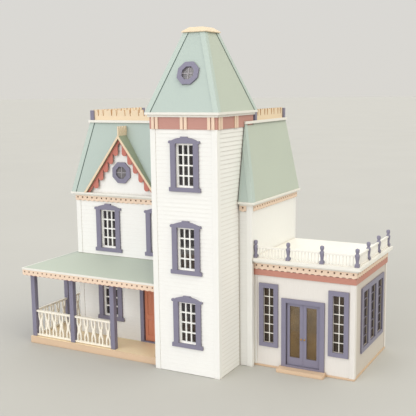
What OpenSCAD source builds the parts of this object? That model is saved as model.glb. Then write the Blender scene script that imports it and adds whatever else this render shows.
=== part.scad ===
// Victorian dollhouse at one-twelfth scale: a three-storey tower, a main block under a mansard
// roof with a front gable, a wrap-around porch and a flat-roofed conservatory. The back is open.
//
// House frame: x = 0, y = 0 at the tower's front left corner, z = 0 at the table, front facing -Y.
// Every node is moved by -middle, so the part's origin is the middle of its footprint, at z = 0.

/* [Main block] */
// Width of the front wall to the left of the tower
left_w = 389; // [380:1:400]
// Width of the front wall to the right of the tower
right_w = 42; // [38:1:50]
// Depth of the main block
main_d = 360; // [352:1:372]
// Height of the walls, to the underside of the main cornice
wall_top = 503; // [500:1:508]
// Height of the main cornice
cornice_h = 12; // [10:1:14]
// Overhang of the main cornice
cornice_out = 16.6; // [14:0.2:18]
// Thickness of the walls and floors
wall_t = 9; // [8:0.5:9.5]
// Top of the ground floor
ground_z = 22; // [20:0.5:23]
// Top of the second floor
second_z = 245; // [242:1:250]

/* [Tower] */
// Width of the tower
tower_w = 216; // [210:1:222]
// How far the tower stands in front of the main wall
tower_out = 138; // [134:1:144]
// Depth of the tower above the eaves
tower_d = 234; // [228:1:240]
// Height of the tower walls
tower_top = 772; // [768:1:776]
// Height of the rose frieze
frieze_h = 35; // [32:1:36]
// Height of the tower cornice
tower_cornice_h = 14; // [12:1:16]
// Overhang of the tower cornice
tower_cornice_out = 15; // [13:0.5:16]
// Height of the tower roof
tower_roof_h = 230; // [220:1:240]
// Inset of the tower roof's top from the walls
tower_roof_in = 74; // [70:1:78]
// Height of the cap
cap_h = 15; // [13:1:18]

/* [Mansard roof and gable] */
// Height of the mansard slopes
mansard_h = 230; // [226:1:234]
// Horizontal run of the mansard slopes
mansard_run = 50; // [46:1:54]
// Height of the white crown on the mansard
crown_h = 8; // [6:1:10]
// Height of the cresting
crest_h = 34; // [31:1:37]
// Centre of the gable, to the left of the tower
gable_x = -205; // [-210:1:-200]
// Height of the gable's ridge above the main cornice
gable_h = 193; // [185:1:198]
// Half of the gable's width at its foot
gable_half = 143; // [139:1:147]
// Overhang of the gable roof in front of the wall
gable_out = 17; // [15:1:19]

/* [Porch] */
// Left edge of the porch floor, from the main wall
porch_side = 131; // [128:1:136]
// Front edge of the porch floor, behind the tower's front
porch_front = 19; // [16:1:24]
// Top of the porch floor
porch_z = 23; // [22:0.5:24]
// Width of a porch post
post_w = 16; // [14:0.5:18]
// Spacing of the front posts
post_pitch = 162; // [160:1:164]
// Spacing of the side posts
side_pitch = 175; // [170:1:178]
// Height of the porch ceiling
ceiling_z = 254; // [252:1:255]
// Height of the porch eaves
porch_eave_z = 264; // [263:1:266]
// Height of the porch roof where it meets the wall
porch_ridge_z = 304; // [300:1:308]
// Overhang of the porch roof at the left
porch_eave_side = 12; // [10:1:16]
// Overhang of the porch roof at the front
porch_eave_front = 15; // [12:1:16]
// Top of the porch rail above the floor
rail_h = 91; // [84:1:96]

/* [Conservatory] */
// Width of the conservatory
cons_w = 319; // [312:1:330]
// Depth of the conservatory
cons_d = 330; // [326:1:336]
// How far its front stands behind the main front wall
cons_back = 21; // [18:1:24]
// Height of the walls, to the underside of the roof
cons_top = 327; // [325:1:330]
// Overhang of the roof
cons_out = 20; // [18:1:22]
// Height of the newels on the roof
newel_h = 55; // [50:1:58]

/* [Windows and doors] */
// Width of a sash window opening
sash_w = 60; // [57:1:63]
// Height of a sash window opening
sash_h = 129; // [126:1:130]
// Width across the flats of an octagon window
octagon_w = 68; // [65:1:72]
// Width of the front door leaf
door_w = 73; // [70:1:74]
// Height of the door leaves
door_h = 178; // [174:1:180]
// Width of one french door leaf
french_w = 53; // [50:1:54]
// Width of a conservatory window opening
light_w = 34; // [32:1:36]
// Height of a conservatory window opening
light_h = 172; // [168:1:174]
// Front door swing, for display
front_door_open = 0; // [0:1:90]
// French door swing, for display
french_doors_open = 0; // [0:1:95]

/* [Hidden] */
$fn = 48;
eps = 0.01;

// Paint colours
white = [0.95, 0.95, 0.92];
purple = [0.50, 0.48, 0.60];
sage = [0.74, 0.81, 0.76];
rose = [0.80, 0.55, 0.51];
peach = [0.98, 0.84, 0.70];
terracotta = [0.72, 0.42, 0.34];
plywood = [0.80, 0.68, 0.50];
glass = [0.75, 0.82, 0.85, 0.4];
brass = [0.78, 0.62, 0.30];

// Outer faces of the main block
main_x0 = -left_w;
main_x1 = tower_w + right_w;
main_y0 = tower_out;
main_y1 = tower_out + main_d;
eave_z = wall_top + cornice_h;
crown_z = eave_z + mansard_h;
crown_top = crown_z + crown_h;

// Siding and the trim that stands on the walls
lap = 12.7;
siding_t = 2.5;
siding_z = 1;
board_w = 14;
board_t = 3.5;
bay_leg = 8;
skin = 5;
dentil_h = 18;
dentil_t = 5;
dentil_pitch = 19;
dentil_hole = 5;

// Mansard: base and top outlines, with the slope's outer face board_out in front of the wall
mansard_out = 12;
panel_t = 6;
crown_out = 6;
crest_t = 4;
crest_pitch = 54;
crest_post = 14;
crest_post_h = 32;

// Gable, whose slope rises gable_h over gable_half
gable_slope = gable_h / gable_half;
gable_ridge_z = eave_z + gable_h;
gable_t = 6;
gable_front_y = main_y0 - gable_out;
gable_window_z = 585;
lobe_pitch = 20.5;
lobe_r = 9;
lobe_drop = 45;
lobe_count = 5;
strip_t = 2;

// Tower roof
roof_edge_in = 3;
roof_lo = [-tower_cornice_out + roof_edge_in, -tower_cornice_out + roof_edge_in];
roof_hi = [tower_w + tower_cornice_out - roof_edge_in, tower_d + tower_cornice_out - roof_edge_in];
roof_top_lo = [tower_roof_in, tower_roof_in];
roof_top_hi = [tower_w - tower_roof_in, tower_d - tower_roof_in];
roof_z0 = tower_top + tower_cornice_h;
roof_z1 = roof_z0 + tower_roof_h;
roof_lean = atan((roof_top_lo[1] - roof_lo[1]) / tower_roof_h);
tower_window_z = 896;
tower_mid = 112;
hip_leg = 15;
hip_t = 2;
cap_over = 6;
cap_lip = 2.5;
cap_in = 17;

// Sash windows: [x, y, z of the sill's underside, turn], on the outer face of their wall
sill_h = 12;
sill_w = 105;
jamb_w = 16.5;
head_h = 8.5;
casing_t = 8;
tower_window_x = 112.5;
window_z = [82, 308, 555.5];
upper_window_z = 318;
main_window_x = [-263.5, -67];
side_window_y = 300;
WINDOWS = [
    for (z = window_z) [tower_window_x, 0, z, 0],
    [main_window_x[0], main_y0, window_z[0], 0],
    for (x = main_window_x) [x, main_y0, upper_window_z, 0],
    for (z = [window_z[0], upper_window_z]) [main_x0, side_window_y, z, -90]
];
sash_t = 4.5;
sash_in = 3;
sash_bar = 5.5;
muntin = 4;
pane_t = 1.5;
octagon_hole = 39;
octagon_t = 6;

// Front door
door_x = -96;
door_t = 7;
lining = 4;
threshold_h = 4;
door_gap = 0.6;
pin_r = 1;
bore_r = 1.05;
pin_in = 3;
casing_w = 9;
door_casing_t = 5;
frame_w = door_w + 2 * door_gap + 2 * lining;
door_z = porch_z + threshold_h + door_gap;
frame_top = door_z + door_h + door_gap + lining;
door_y = main_y0 + 1;
door_pivot = [door_x - door_w / 2 + door_t / 2, door_y + door_t / 2];

// Conservatory
cons_x0 = main_x1;
cons_x1 = main_x1 + cons_w;
cons_y0 = main_y0 + cons_back;
cons_y1 = cons_y0 + cons_d;
cons_mid = (cons_x0 + cons_x1) / 2;
cons_floor_z = 12;
cons_plinth = 6;
cons_floor_out = 2;
cons_frieze_h = 18;
cons_dentil_h = 20;
cons_frieze_t = 4;
cons_roof_h = 16;
cons_roof_top = cons_top + cons_roof_h;
step_w = 148;
step_d = 29;
light_z = 79;
light_casing = 14;
light_offset = 111;
light_casing_t = 5;
triple_y0 = 216;
triple_light = 54;
triple_post = 22;
newel_in = 6;
newel_w = 12.5;
rail_z = 30;
spindle_r = 1.4;

// French doors
french_gap = 0.6;
french_t = 6;
french_threshold = 6;
french_stile = 10.5;
french_top_rail = 9;
french_foot = 24;
french_casing = 10.5;
french_casing_top = 9;
french_z = cons_floor_z + french_threshold + french_gap;
french_frame_w = 2 * french_w + 3 * french_gap + 2 * lining;
french_leaf_h = door_h + 15;
french_top = french_z + french_leaf_h + french_gap + lining;
french_y = cons_y0 + 1.5;
french_left_pivot = [cons_mid - french_gap / 2 - french_w + french_t / 2, french_y + french_t / 2];
french_right_pivot = [cons_mid + french_gap / 2 + french_w - french_t / 2, french_y + french_t / 2];

// Porch
porch_x0 = main_x0 - porch_side;
porch_x1 = -skin;
porch_y0 = porch_front;
post_x = porch_x0 + 5 + post_w / 2;
post_y = porch_y0 + 6 + post_w / 2;
front_posts = [for (i = [0:2]) post_x + i * post_pitch];
side_posts = [for (i = [1:2]) post_y + i * side_pitch];
porch_y1 = side_posts[1] + post_w / 2 + 5;
eave_x0 = porch_x0 - porch_eave_side;
eave_y0 = porch_y0 - porch_eave_front;
eave_y1 = porch_y1 + 4;
roof_sheet = 5;
edge_t = 3;
edge_h = 6;
fascia_t = 5;
fascia_z = 239;

// Rooms and stairs
partition_t = 8;
partition_x = -215;
stair_w = 66;
stair_x = partition_x + partition_t / 2 + 1;
stair_y = 168;
tread = 21;
stair_steps = 12;
well_y0 = 190;
inner_door_w = 66;
inner_door_h = 176;
side_door_y = 300;

// Middle of the footprint, which becomes the part's origin
front_y = -tower_cornice_out;
middle = [(eave_x0 + cons_x1 + cons_out) / 2, (front_y + main_y1) / 2, 0];

// ---------------------------------------------------------------- helpers

// A box between two corners
module block(lo, hi) {
    translate(lo) cube(hi - lo);
}

// A flat shape drawn in x and z, h thick, whose back is at y
module front_plate(y, h) {
    translate([0, y, 0]) rotate([90, 0, 0]) linear_extrude(h) children();
}

// A flat shape drawn in y and z, h thick, from x on
module side_plate(x, h) {
    translate([x, 0, 0]) rotate([90, 0, 90]) linear_extrude(h) children();
}

// A rectangle between two corners
module area(lo, hi) {
    translate(lo) square(hi - lo);
}

// A solid with four corners below, anticlockwise from above, and the same four above
module wedge(low, high) {
    polyhedron(
        points = concat(low, high),
        faces = [[0, 1, 2, 3], [7, 6, 5, 4], [0, 4, 5, 1], [1, 5, 6, 2], [2, 6, 7, 3], [3, 7, 4, 0]]
    );
}

// A frustum between rectangle lo0-hi0 at z0 and rectangle lo1-hi1 at z1
module frustum(lo0, hi0, z0, lo1, hi1, z1) {
    wedge(
        [[lo0[0], lo0[1], z0], [hi0[0], lo0[1], z0], [hi0[0], hi0[1], z0], [lo0[0], hi0[1], z0]],
        [[lo1[0], lo1[1], z1], [hi1[0], lo1[1], z1], [hi1[0], hi1[1], z1], [lo1[0], hi1[1], z1]]
    );
}

// Copies of a child at every sash window
module at_windows() {
    for (w = WINDOWS) translate([w[0], w[1], w[2]]) rotate([0, 0, w[3]]) children();
}

// The hole that a sash window needs in its wall
module window_hole() {
    translate([-sash_w / 2, -1, sill_h]) cube([sash_w, wall_t + 2, sash_h]);
}

// ---------------------------------------------------------------- floors, partitions, stairs

// Outline of a floor: the main block, and the tower room in front of it
module floor_outline() {
    area([main_x0 + wall_t, main_y0 + wall_t], [main_x1 - wall_t, main_y1]);
    area([wall_t, wall_t], [tower_w - wall_t, main_y0 + wall_t + eps]);
}

module ground_floor() color(plywood) {
    runner = 14;
    x0 = main_x0 + wall_t;
    x1 = main_x1 - wall_t;
    y0 = main_y0 + wall_t;
    translate([0, 0, ground_z - wall_t]) linear_extrude(wall_t) floor_outline();
    for (y = [y0, (y0 + main_y1) / 2, main_y1 - runner])
        block([x0, y, 0], [x1, y + runner, ground_z - wall_t + eps]);
    block([wall_t, wall_t, 0], [tower_w - wall_t, wall_t + runner, ground_z - wall_t + eps]);
}

module second_floor() color(plywood) difference() {
    translate([0, 0, second_z - wall_t]) linear_extrude(wall_t) floor_outline();
    block([stair_x - 1, well_y0, second_z - wall_t - 1],
          [stair_x + stair_w + 2, stair_y + stair_steps * tread, second_z + 1]);
}

module attic_floor() color(plywood)
    translate([0, 0, wall_top - wall_t]) linear_extrude(wall_t) floor_outline();

// A cross wall between two floors, with a doorway near the open back
module cross_wall(z0, z1) {
    x = partition_x - partition_t / 2;
    gap_y = main_y1 - 10 - inner_door_w;
    difference() {
        block([x, main_y0 + wall_t, z0], [x + partition_t, main_y1, z1]);
        block([x - 1, gap_y, z0 - 1], [x + partition_t + 1, gap_y + inner_door_w, z0 + inner_door_h]);
    }
}

module partitions() color(white) {
    cross_wall(ground_z, second_z - wall_t);
    cross_wall(second_z, wall_top - wall_t);
}

module staircase() color(plywood) {
    riser = (second_z - ground_z) / (stair_steps + 1);
    run = stair_steps * tread;
    string_d = 30;
    steps = [for (i = [0:stair_steps - 1], k = [0, 1]) [(i + k) * tread, (i + 1) * riser]];
    side_plate(stair_x, stair_w) translate([stair_y, ground_z])
        polygon(concat([[0, 0]], steps, [[run, stair_steps * riser - string_d], [string_d, 0]]));
}

// ---------------------------------------------------------------- walls

module main_front_wall() color(white) difference() {
    union() {
        block([main_x0, main_y0, 0], [0, main_y0 + wall_t, wall_top]);
        block([tower_w, main_y0, 0], [main_x1, main_y0 + wall_t, wall_top]);
    }
    at_windows() window_hole();
    block([door_x - frame_w / 2, main_y0 - 1, porch_z],
          [door_x + frame_w / 2, main_y0 + wall_t + 1, frame_top]);
}

module main_left_wall() color(white) difference() {
    block([main_x0, main_y0 + wall_t, 0], [main_x0 + wall_t, main_y1, wall_top]);
    at_windows() window_hole();
}

module main_right_wall() color(white) difference() {
    block([main_x1 - wall_t, main_y0 + wall_t, 0], [main_x1, main_y1, wall_top]);
    block([main_x1 - wall_t - 1, side_door_y, ground_z],
          [main_x1 + 1, side_door_y + inner_door_w, ground_z + inner_door_h]);
}

module tower_front_wall() color(white) difference() {
    block([0, 0, 0], [tower_w, wall_t, tower_top]);
    at_windows() window_hole();
}

// A tower side: in front of the main block below the attic floor, and deeper above it
module tower_side(x) {
    side_plate(x, wall_t) {
        area([wall_t, 0], [main_y0 + wall_t, wall_top]);
        area([wall_t, wall_top - eps], [tower_d, tower_top]);
    }
}

module tower_left_wall() color(white) tower_side(0);

module tower_right_wall() color(white) tower_side(tower_w - wall_t);

// ---------------------------------------------------------------- siding and corner boards

// A sheet of clapboards in the plane y = 0, facing -Y, from x0 to x1 and z0 to z1
module siding_sheet(x0, x1, z0, z1) {
    laps = ceil((z1 - z0) / lap);
    teeth = [
        for (i = [0:laps - 1], k = [0, 1])
            [k == 0 ? -siding_t : -1, z0 + min((i + k) * lap, z1 - z0)]
    ];
    translate([x0, 0, 0]) rotate([90, 0, 90]) linear_extrude(x1 - x0)
        polygon(concat([[0, z0]], teeth, [[0, z1]]));
}

// A sheet on the tower's side, cut where the main block and its roof meet it
module tower_side_sheet() {
    difference() {
        siding_sheet(board_w, tower_d, siding_z, tower_top - frieze_h);
        block([main_y0 - skin, -skin, 0], [tower_d + 1, 1, eave_z]);
        translate([0, -skin, eave_z - eps]) rotate([-90, 0, 0]) mirror([0, 1, 0])
            linear_extrude(2 * skin) polygon([
                [main_y0 - mansard_out, 0], [tower_d + 1, 0], [tower_d + 1, mansard_h],
                [main_y0 - mansard_out + mansard_run, mansard_h]
            ]);
    }
}

module clapboard_siding() color(white) difference() {
    union() {
        siding_sheet(board_w, tower_w - board_w, siding_z, tower_top - frieze_h);
        translate([tower_w, 0, 0]) rotate([0, 0, 90]) tower_side_sheet();
        mirror([1, 0, 0]) rotate([0, 0, 90]) tower_side_sheet();
        translate([0, main_y0, 0])
            siding_sheet(main_x0 + board_w, -skin, porch_z, wall_top - dentil_h);
        translate([0, main_y0, 0])
            siding_sheet(tower_w + skin, main_x1 - board_w, siding_z, wall_top - dentil_h);
        translate([main_x0, main_y1, 0]) rotate([0, 0, -90])
            siding_sheet(board_w, main_d - board_w, porch_z, wall_top - dentil_h);
    }
    at_windows() front_plate(1, 10) casing_outline();
    block([door_x - frame_w / 2 - casing_w, main_y0 - 10, 0],
          [door_x + frame_w / 2 + casing_w, main_y0 + 1, frame_top + casing_w]);
    // The porch roof and its ceiling meet the wall without siding behind them
    block([main_x0 - 10, main_y0 - 10, ceiling_z], [-skin + 1, main_y0 + 1, porch_ridge_z + 1]);
    block([main_x0 - 10, main_y0 - 10, ceiling_z], [main_x0 + 1, eave_y1 + 2, porch_ridge_z + 1]);
}

// An angle board round an outer corner at [x, y]; dx and dy point along the two walls
module corner_board(x, y, dx, dy, z0, z1) {
    translate([x, y, z0]) mirror([dx < 0 ? 1 : 0, 0, 0]) mirror([0, dy < 0 ? 1 : 0, 0])
        linear_extrude(z1 - z0) polygon([
            [-board_t, -board_t], [board_w, -board_t], [board_w, 0], [0, 0],
            [0, board_w], [-board_t, board_w]
        ]);
}

module corner_boards() color(white) {
    corner_board(0, 0, 1, 1, 0, tower_top - frieze_h);
    corner_board(tower_w, 0, -1, 1, 0, tower_top - frieze_h);
    difference() {
        corner_board(main_x0, main_y0, 1, 1, porch_z, wall_top - dentil_h);
        block([main_x0 - 10, main_y0 - 10, ceiling_z],
              [main_x0 + board_w + 1, main_y0 + board_w + 1, porch_ridge_z + 1]);
    }
    difference() {
        union() {
            block([main_x1 - board_w, main_y0 - board_t, 0], [main_x1 + board_t, main_y0, wall_top]);
            block([main_x1, main_y0 - eps, 0], [main_x1 + board_t, main_y0 + bay_leg, wall_top]);
        }
        // The conservatory roof passes behind it
        block([main_x1, main_y0 - 1, cons_top - 1], [main_x1 + 10, main_y0 + 10, cons_roof_top]);
    }
    block([main_x0 - board_t, main_y1 - board_w, 0], [main_x0, main_y1, wall_top - dentil_h]);
    block([cons_x1 - board_w, cons_y0 - 2, cons_plinth],
          [cons_x1, cons_y0, cons_top - cons_dentil_h - cons_frieze_h]);
    block([cons_x0, cons_y0 - 2, cons_plinth],
          [cons_x0 + 10, cons_y0, cons_top - cons_dentil_h - cons_frieze_h]);
    for (y = [cons_y0 - 2, cons_y1 - board_w])
        block([cons_x1, y, cons_plinth],
              [cons_x1 + 2, y + board_w, cons_top - cons_dentil_h - cons_frieze_h]);
}

// ---------------------------------------------------------------- dentil trim and cornices

// A strip of pierced trim with a scalloped lower edge, length along x, h high
module dentil(length, h) {
    count = round(length / dentil_pitch);
    pitch = length / count;
    difference() {
        union() {
            area([0, 2.5], [length, h]);
            for (i = [0:count - 1]) translate([(i + 0.5) * pitch, 0]) intersection() {
                translate([0, 9.3]) circle(r = 9.3);
                area([-9, 0], [9, 9]);
            }
        }
        for (i = [0:count - 1])
            translate([(i + 0.5) * pitch - dentil_hole / 2, h / 2]) square(dentil_hole);
    }
}

module main_dentil_trim() color(peach) {
    z = wall_top - dentil_h;
    x0 = main_x0 - dentil_t;
    translate([x0, 0, z]) front_plate(main_y0, dentil_t) dentil(-skin - x0, dentil_h);
    translate([tower_w + skin, 0, z]) front_plate(main_y0, dentil_t)
        dentil(main_x1 - board_w - tower_w - skin, dentil_h);
    translate([0, main_y0, z]) side_plate(x0, dentil_t) dentil(main_d, dentil_h);
    translate([0, main_y0 + bay_leg, z]) side_plate(main_x1, dentil_t) dentil(main_d - bay_leg, dentil_h);
}

// A cornice course between z0 and z1 round the main block, out from the walls
module main_course(z0, z1, out) {
    difference() {
        block([main_x0 - out, main_y0 - out, z0], [main_x1 + out, main_y1, z1]);
        block([main_x0 + wall_t, main_y0 + wall_t, z0 - 1], [main_x1 - wall_t, main_y1 + 1, z1 + 1]);
        block([-skin, main_y0 - out - 1, z0 - 1], [tower_w + skin, main_y0 + wall_t + 1, z1 + 1]);
    }
}

module main_cornice() color(white) {
    main_course(wall_top, wall_top + cornice_h / 2 + eps, cornice_out / 2);
    main_course(wall_top + cornice_h / 2, eave_z, cornice_out);
}

// ---------------------------------------------------------------- mansard

// Outer volume of the mansard, moved in by front_in at the front and side_in at its sides
module mansard_volume(front_in, side_in, back_y) {
    a = mansard_out - side_in;
    b = a - mansard_run;
    c = mansard_out - front_in;
    d = c - mansard_run;
    frustum([main_x0 - a, main_y0 - c], [main_x1 + a, back_y], eave_z,
            [main_x0 - b, main_y0 - d], [main_x1 + b, back_y], crown_z);
}

// The room that the tower takes out of the mansard
module tower_space() {
    block([-skin, -20, eave_z - 20], [tower_w + skin, tower_d + skin, tower_top]);
}

// The gable's full triangle, from y0 to y1, moved down by drop
module gable_prism(y0, y1, drop) {
    half = gable_half - drop / gable_slope;
    front_plate(y1, y1 - y0)
        polygon([[gable_x - half, eave_z], [gable_x + half, eave_z], [gable_x, gable_ridge_z - drop]]);
}

module mansard_front_panels() color(sage) difference() {
    mansard_volume(0, 0, main_y0 + 90);
    translate([0, 0, -1]) mansard_volume(panel_t - mansard_run / mansard_h, -20, main_y0 + 91);
    translate([0, 0, 1]) mansard_volume(panel_t + mansard_run / mansard_h, -20, main_y0 + 91);
    tower_space();
    gable_prism(gable_front_y - 1, main_y0 + mansard_run, 0);
}

module mansard_side_panels() color(sage) difference() {
    mansard_volume(panel_t, 0, main_y1);
    translate([0, 0, -1]) mansard_volume(-20, panel_t - mansard_run / mansard_h, main_y1 + 1);
    translate([0, 0, 1]) mansard_volume(-20, panel_t + mansard_run / mansard_h, main_y1 + 1);
    tower_space();
}

// Outer edges of the crown
crown_x0 = main_x0 - mansard_out + mansard_run - crown_out;
crown_x1 = main_x1 + mansard_out - mansard_run + crown_out;
crown_y0 = main_y0 - mansard_out + mansard_run - crown_out;

module mansard_deck() color(white) difference() {
    block([crown_x0, crown_y0, crown_z], [crown_x1, main_y1, crown_top]);
    block([-skin, 0, crown_z - 1], [tower_w + skin, tower_d + skin, crown_top + 1]);
}

// Cut-out cresting, length along x
module cresting(length, base_h, h) {
    count = max(2, round(length / crest_pitch));
    pitch = length / count;
    difference() {
        area([0, 0], [length, h]);
        for (i = [0:count - 1], k = [0.31, 0.69]) translate([(i + k) * pitch, 0])
            polygon([[-2, base_h], [2, base_h], [4.2, h + 1], [-4.2, h + 1]]);
        for (i = [1:count - 1]) translate([i * pitch, h]) circle(r = 3.5);
    }
}

crest_in = 5;
crest_base = 14;
crest_front_y = crown_y0 + crest_in;
crest_start_y = tower_d + tower_cornice_out + 2;

module roof_cresting() color(peach) {
    front_x = crown_x0 + crest_in + crest_post;
    side_y = crest_front_y + crest_post;
    back_y = main_y1 - crest_in - crest_post;
    translate([front_x, 0, crown_top])
        front_plate(crest_front_y + crest_post / 2 + crest_t / 2, crest_t)
        cresting(-tower_cornice_out - 2 - front_x, crest_base, crest_h);
    translate([0, side_y, crown_top])
        side_plate(crown_x0 + crest_in + crest_post / 2 - crest_t / 2, crest_t)
        cresting(back_y - side_y, crest_base, crest_h);
    translate([0, crest_start_y + crest_post, crown_top])
        side_plate(crown_x1 - crest_in - crest_post / 2 - crest_t / 2, crest_t)
        cresting(back_y - crest_start_y - crest_post, crest_base, crest_h);
}

module cresting_posts() color(purple) {
    left_x = crown_x0 + crest_in;
    right_x = crown_x1 - crest_in - crest_post;
    back_y = main_y1 - crest_in - crest_post;
    for (p = [[left_x, crest_front_y], [left_x, back_y], [right_x, crest_start_y], [right_x, back_y]])
        block([p[0], p[1], crown_top],
              [p[0] + crest_post, p[1] + crest_post, crown_top + crest_post_h]);
}

// ---------------------------------------------------------------- gable

module gable_wall() color(white) difference() {
    gable_prism(main_y0, main_y0 + gable_t, gable_t * sqrt(1 + gable_slope * gable_slope));
    translate([gable_x, main_y0 - 1, gable_window_z]) octagon_hole(gable_t + 2);
}

module gable_roof() color(sage) difference() {
    gable_prism(gable_front_y, main_y0 + mansard_run, 0);
    gable_prism(gable_front_y - 1, main_y0 + mansard_run + 1,
                gable_t * sqrt(1 + gable_slope * gable_slope));
    mansard_volume(panel_t, panel_t, main_y1 + 1);
}

// Scalloped boards under the gable's front edge, drawn for the right-hand slope
module bargeboard_side() {
    drop = gable_t * sqrt(1 + gable_slope * gable_slope);
    band = 14;
    foot = gable_half - drop / gable_slope;
    intersection() {
        union() {
            polygon([
                [0, gable_h - drop], [foot, 0], [foot - band / gable_slope, 0],
                [0, gable_h - drop - band]
            ]);
            for (i = [0:lobe_count - 1]) {
                d = 17 + i * lobe_pitch;
                bottom = gable_h - gable_slope * d - lobe_drop;
                translate([d, bottom + lobe_r]) circle(r = lobe_r);
                area([d - lobe_r, bottom + lobe_r], [d + lobe_r, bottom + lobe_drop]);
            }
        }
        polygon([[0, 0], [foot, 0], [0, gable_h - drop]]);
    }
}

module gable_bargeboard() color(rose)
    translate([gable_x, 0, eave_z]) front_plate(main_y0 - 7, 3) {
        bargeboard_side();
        mirror([1, 0]) bargeboard_side();
    }

// The cut-out crest along the ridge, and the strips that cover the roof's front edges
module gable_trim() color(peach) {
    length = 60;
    crest_rise = 28;
    sunk = gable_t;
    difference() {
        translate([0, gable_front_y, gable_ridge_z - sunk]) side_plate(gable_x - crest_t / 2, crest_t)
            difference() {
                area([0, 0], [length, crest_rise + sunk]);
                for (i = [0:3]) translate([8 + i * 14.5, sunk + 7])
                    polygon([[-1.4, 0], [1.4, 0], [4.6, crest_rise], [-4.6, crest_rise]]);
            }
        gable_prism(gable_front_y - 1, main_y0 + mansard_run + 1, 0);
        mansard_volume(0, 0, main_y1 + 1);
    }
    difference() {
        gable_prism(gable_front_y - strip_t, gable_front_y, 0);
        gable_prism(gable_front_y - strip_t - 1, gable_front_y + 1,
                    gable_t * sqrt(1 + gable_slope * gable_slope) + 1);
    }
}

// ---------------------------------------------------------------- tower top

module tower_frieze() color(rose) {
    z0 = tower_top - frieze_h;
    t = 4;
    block([-t, -t, z0], [tower_w + t, 0, tower_top]);
    for (x = [-t, tower_w]) block([x, -eps, z0], [x + t, tower_d, tower_top]);
    block([-t, tower_d - eps, crown_top], [tower_w + t, tower_d + t, tower_top]);
}

// Pairs of upright strips over the frieze, and along the top of its sides
module tower_brackets() color(peach) {
    w = 9.5;
    t = 3;
    out = 4 + t;
    z0 = tower_top - frieze_h;
    pair = 13;
    front = [8, 8 + pair, tower_mid - pair / 2, tower_mid + pair / 2, tower_w - 8 - pair, tower_w - 8];
    side = [8, 8 + pair, tower_d / 2 - pair / 2, tower_d / 2 + pair / 2];
    for (x = front) block([x - w / 2, -out, z0], [x + w / 2, -4, tower_top]);
    for (y = side, x = [-out, tower_w + 4])
        block([x, y - w / 2, z0], [x + t, y + w / 2, tower_top]);
}

module tower_cornice() color(white) {
    half = tower_cornice_h / 2;
    low = tower_cornice_out / 2 + 1;
    block([-low, -low, tower_top], [tower_w + low, tower_d + low, tower_top + half + eps]);
    block([-tower_cornice_out, -tower_cornice_out, tower_top + half],
          [tower_w + tower_cornice_out, tower_d + tower_cornice_out, roof_z0]);
}

// Moves a child from the xz plane onto the front slope of the tower roof, at height z
module on_tower_slope(z) {
    y = roof_lo[1] + (z - roof_z0) * tan(roof_lean);
    translate([tower_mid, y, z]) rotate([-roof_lean, 0, 0]) children();
}

module tower_roof() color(sage) difference() {
    frustum(roof_lo, roof_hi, roof_z0, roof_top_lo, roof_top_hi, roof_z1);
    frustum(roof_lo + [panel_t, panel_t], roof_hi - [panel_t, panel_t], roof_z0 - eps,
            roof_top_lo + [panel_t, panel_t], roof_top_hi - [panel_t, panel_t], roof_z1 + eps);
    on_tower_slope(tower_window_z) translate([0, -10, 0]) octagon_hole(30);
}

// An angle strip up a hip, from the corner a at the foot to the corner b at the top
module hip_trim(a, z0, b, z1, dx, dy) {
    section = [[-hip_t, -hip_t], [hip_leg, -hip_t], [hip_leg, 0], [0, 0], [0, hip_leg], [-hip_t, hip_leg]];
    turned = dx * dy > 0 ? section : [for (i = [5:-1:0]) section[i]];
    low = [for (p = turned) [a[0] + dx * p[0], a[1] + dy * p[1], z0]];
    high = [for (p = turned) [b[0] + dx * p[0], b[1] + dy * p[1], z1]];
    polyhedron(points = concat(low, high), faces = concat(
        [[0, 1, 2, 3, 4, 5], [11, 10, 9, 8, 7, 6]],
        [for (i = [0:5]) [i, i + 6, (i + 1) % 6 + 6, (i + 1) % 6]]
    ));
}

module hip_trims() color(sage) difference() {
    top = mansard_run - mansard_out;
    union() {
    hip_trim(roof_lo, roof_z0, roof_top_lo, roof_z1, 1, 1);
    hip_trim([roof_hi[0], roof_lo[1]], roof_z0, [roof_top_hi[0], roof_top_lo[1]], roof_z1, -1, 1);
    hip_trim([roof_lo[0], roof_hi[1]], roof_z0, [roof_top_lo[0], roof_top_hi[1]], roof_z1, 1, -1);
    hip_trim(roof_hi, roof_z0, roof_top_hi, roof_z1, -1, -1);
    hip_trim([main_x0 - mansard_out, main_y0 - mansard_out], eave_z,
             [main_x0 + top, main_y0 + top], crown_z, 1, 1);
    hip_trim([main_x1 + mansard_out, main_y0 - mansard_out], eave_z,
             [main_x1 - top, main_y0 + top], crown_z, -1, 1);
    }
    tower_space();
}

module tower_cap() color(peach) {
    lo = roof_top_lo - [cap_over, cap_over];
    hi = roof_top_hi + [cap_over, cap_over];
    block([lo[0], lo[1], roof_z1], [hi[0], hi[1], roof_z1 + cap_lip + eps]);
    frustum(lo, hi, roof_z1 + cap_lip, lo + [cap_in, cap_in], hi - [cap_in, cap_in], roof_z1 + cap_h);
}

// ---------------------------------------------------------------- windows

// An eight-sided disc across the flats, drawn with a flat at the top
module octagon(across) {
    rotate(22.5) circle(d = across / cos(22.5), $fn = 8);
}

module octagon_hole(depth) {
    front_plate(depth, depth) octagon(octagon_hole);
}

// A framed octagon window in the xz plane, with its back on y = 0
module octagon_frame() {
    front_plate(0, octagon_t) difference() {
        octagon(octagon_w);
        octagon(octagon_hole);
    }
}

module octagon_frames() color(purple) {
    on_tower_slope(tower_window_z) octagon_frame();
    translate([gable_x, main_y0, gable_window_z]) octagon_frame();
}

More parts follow.
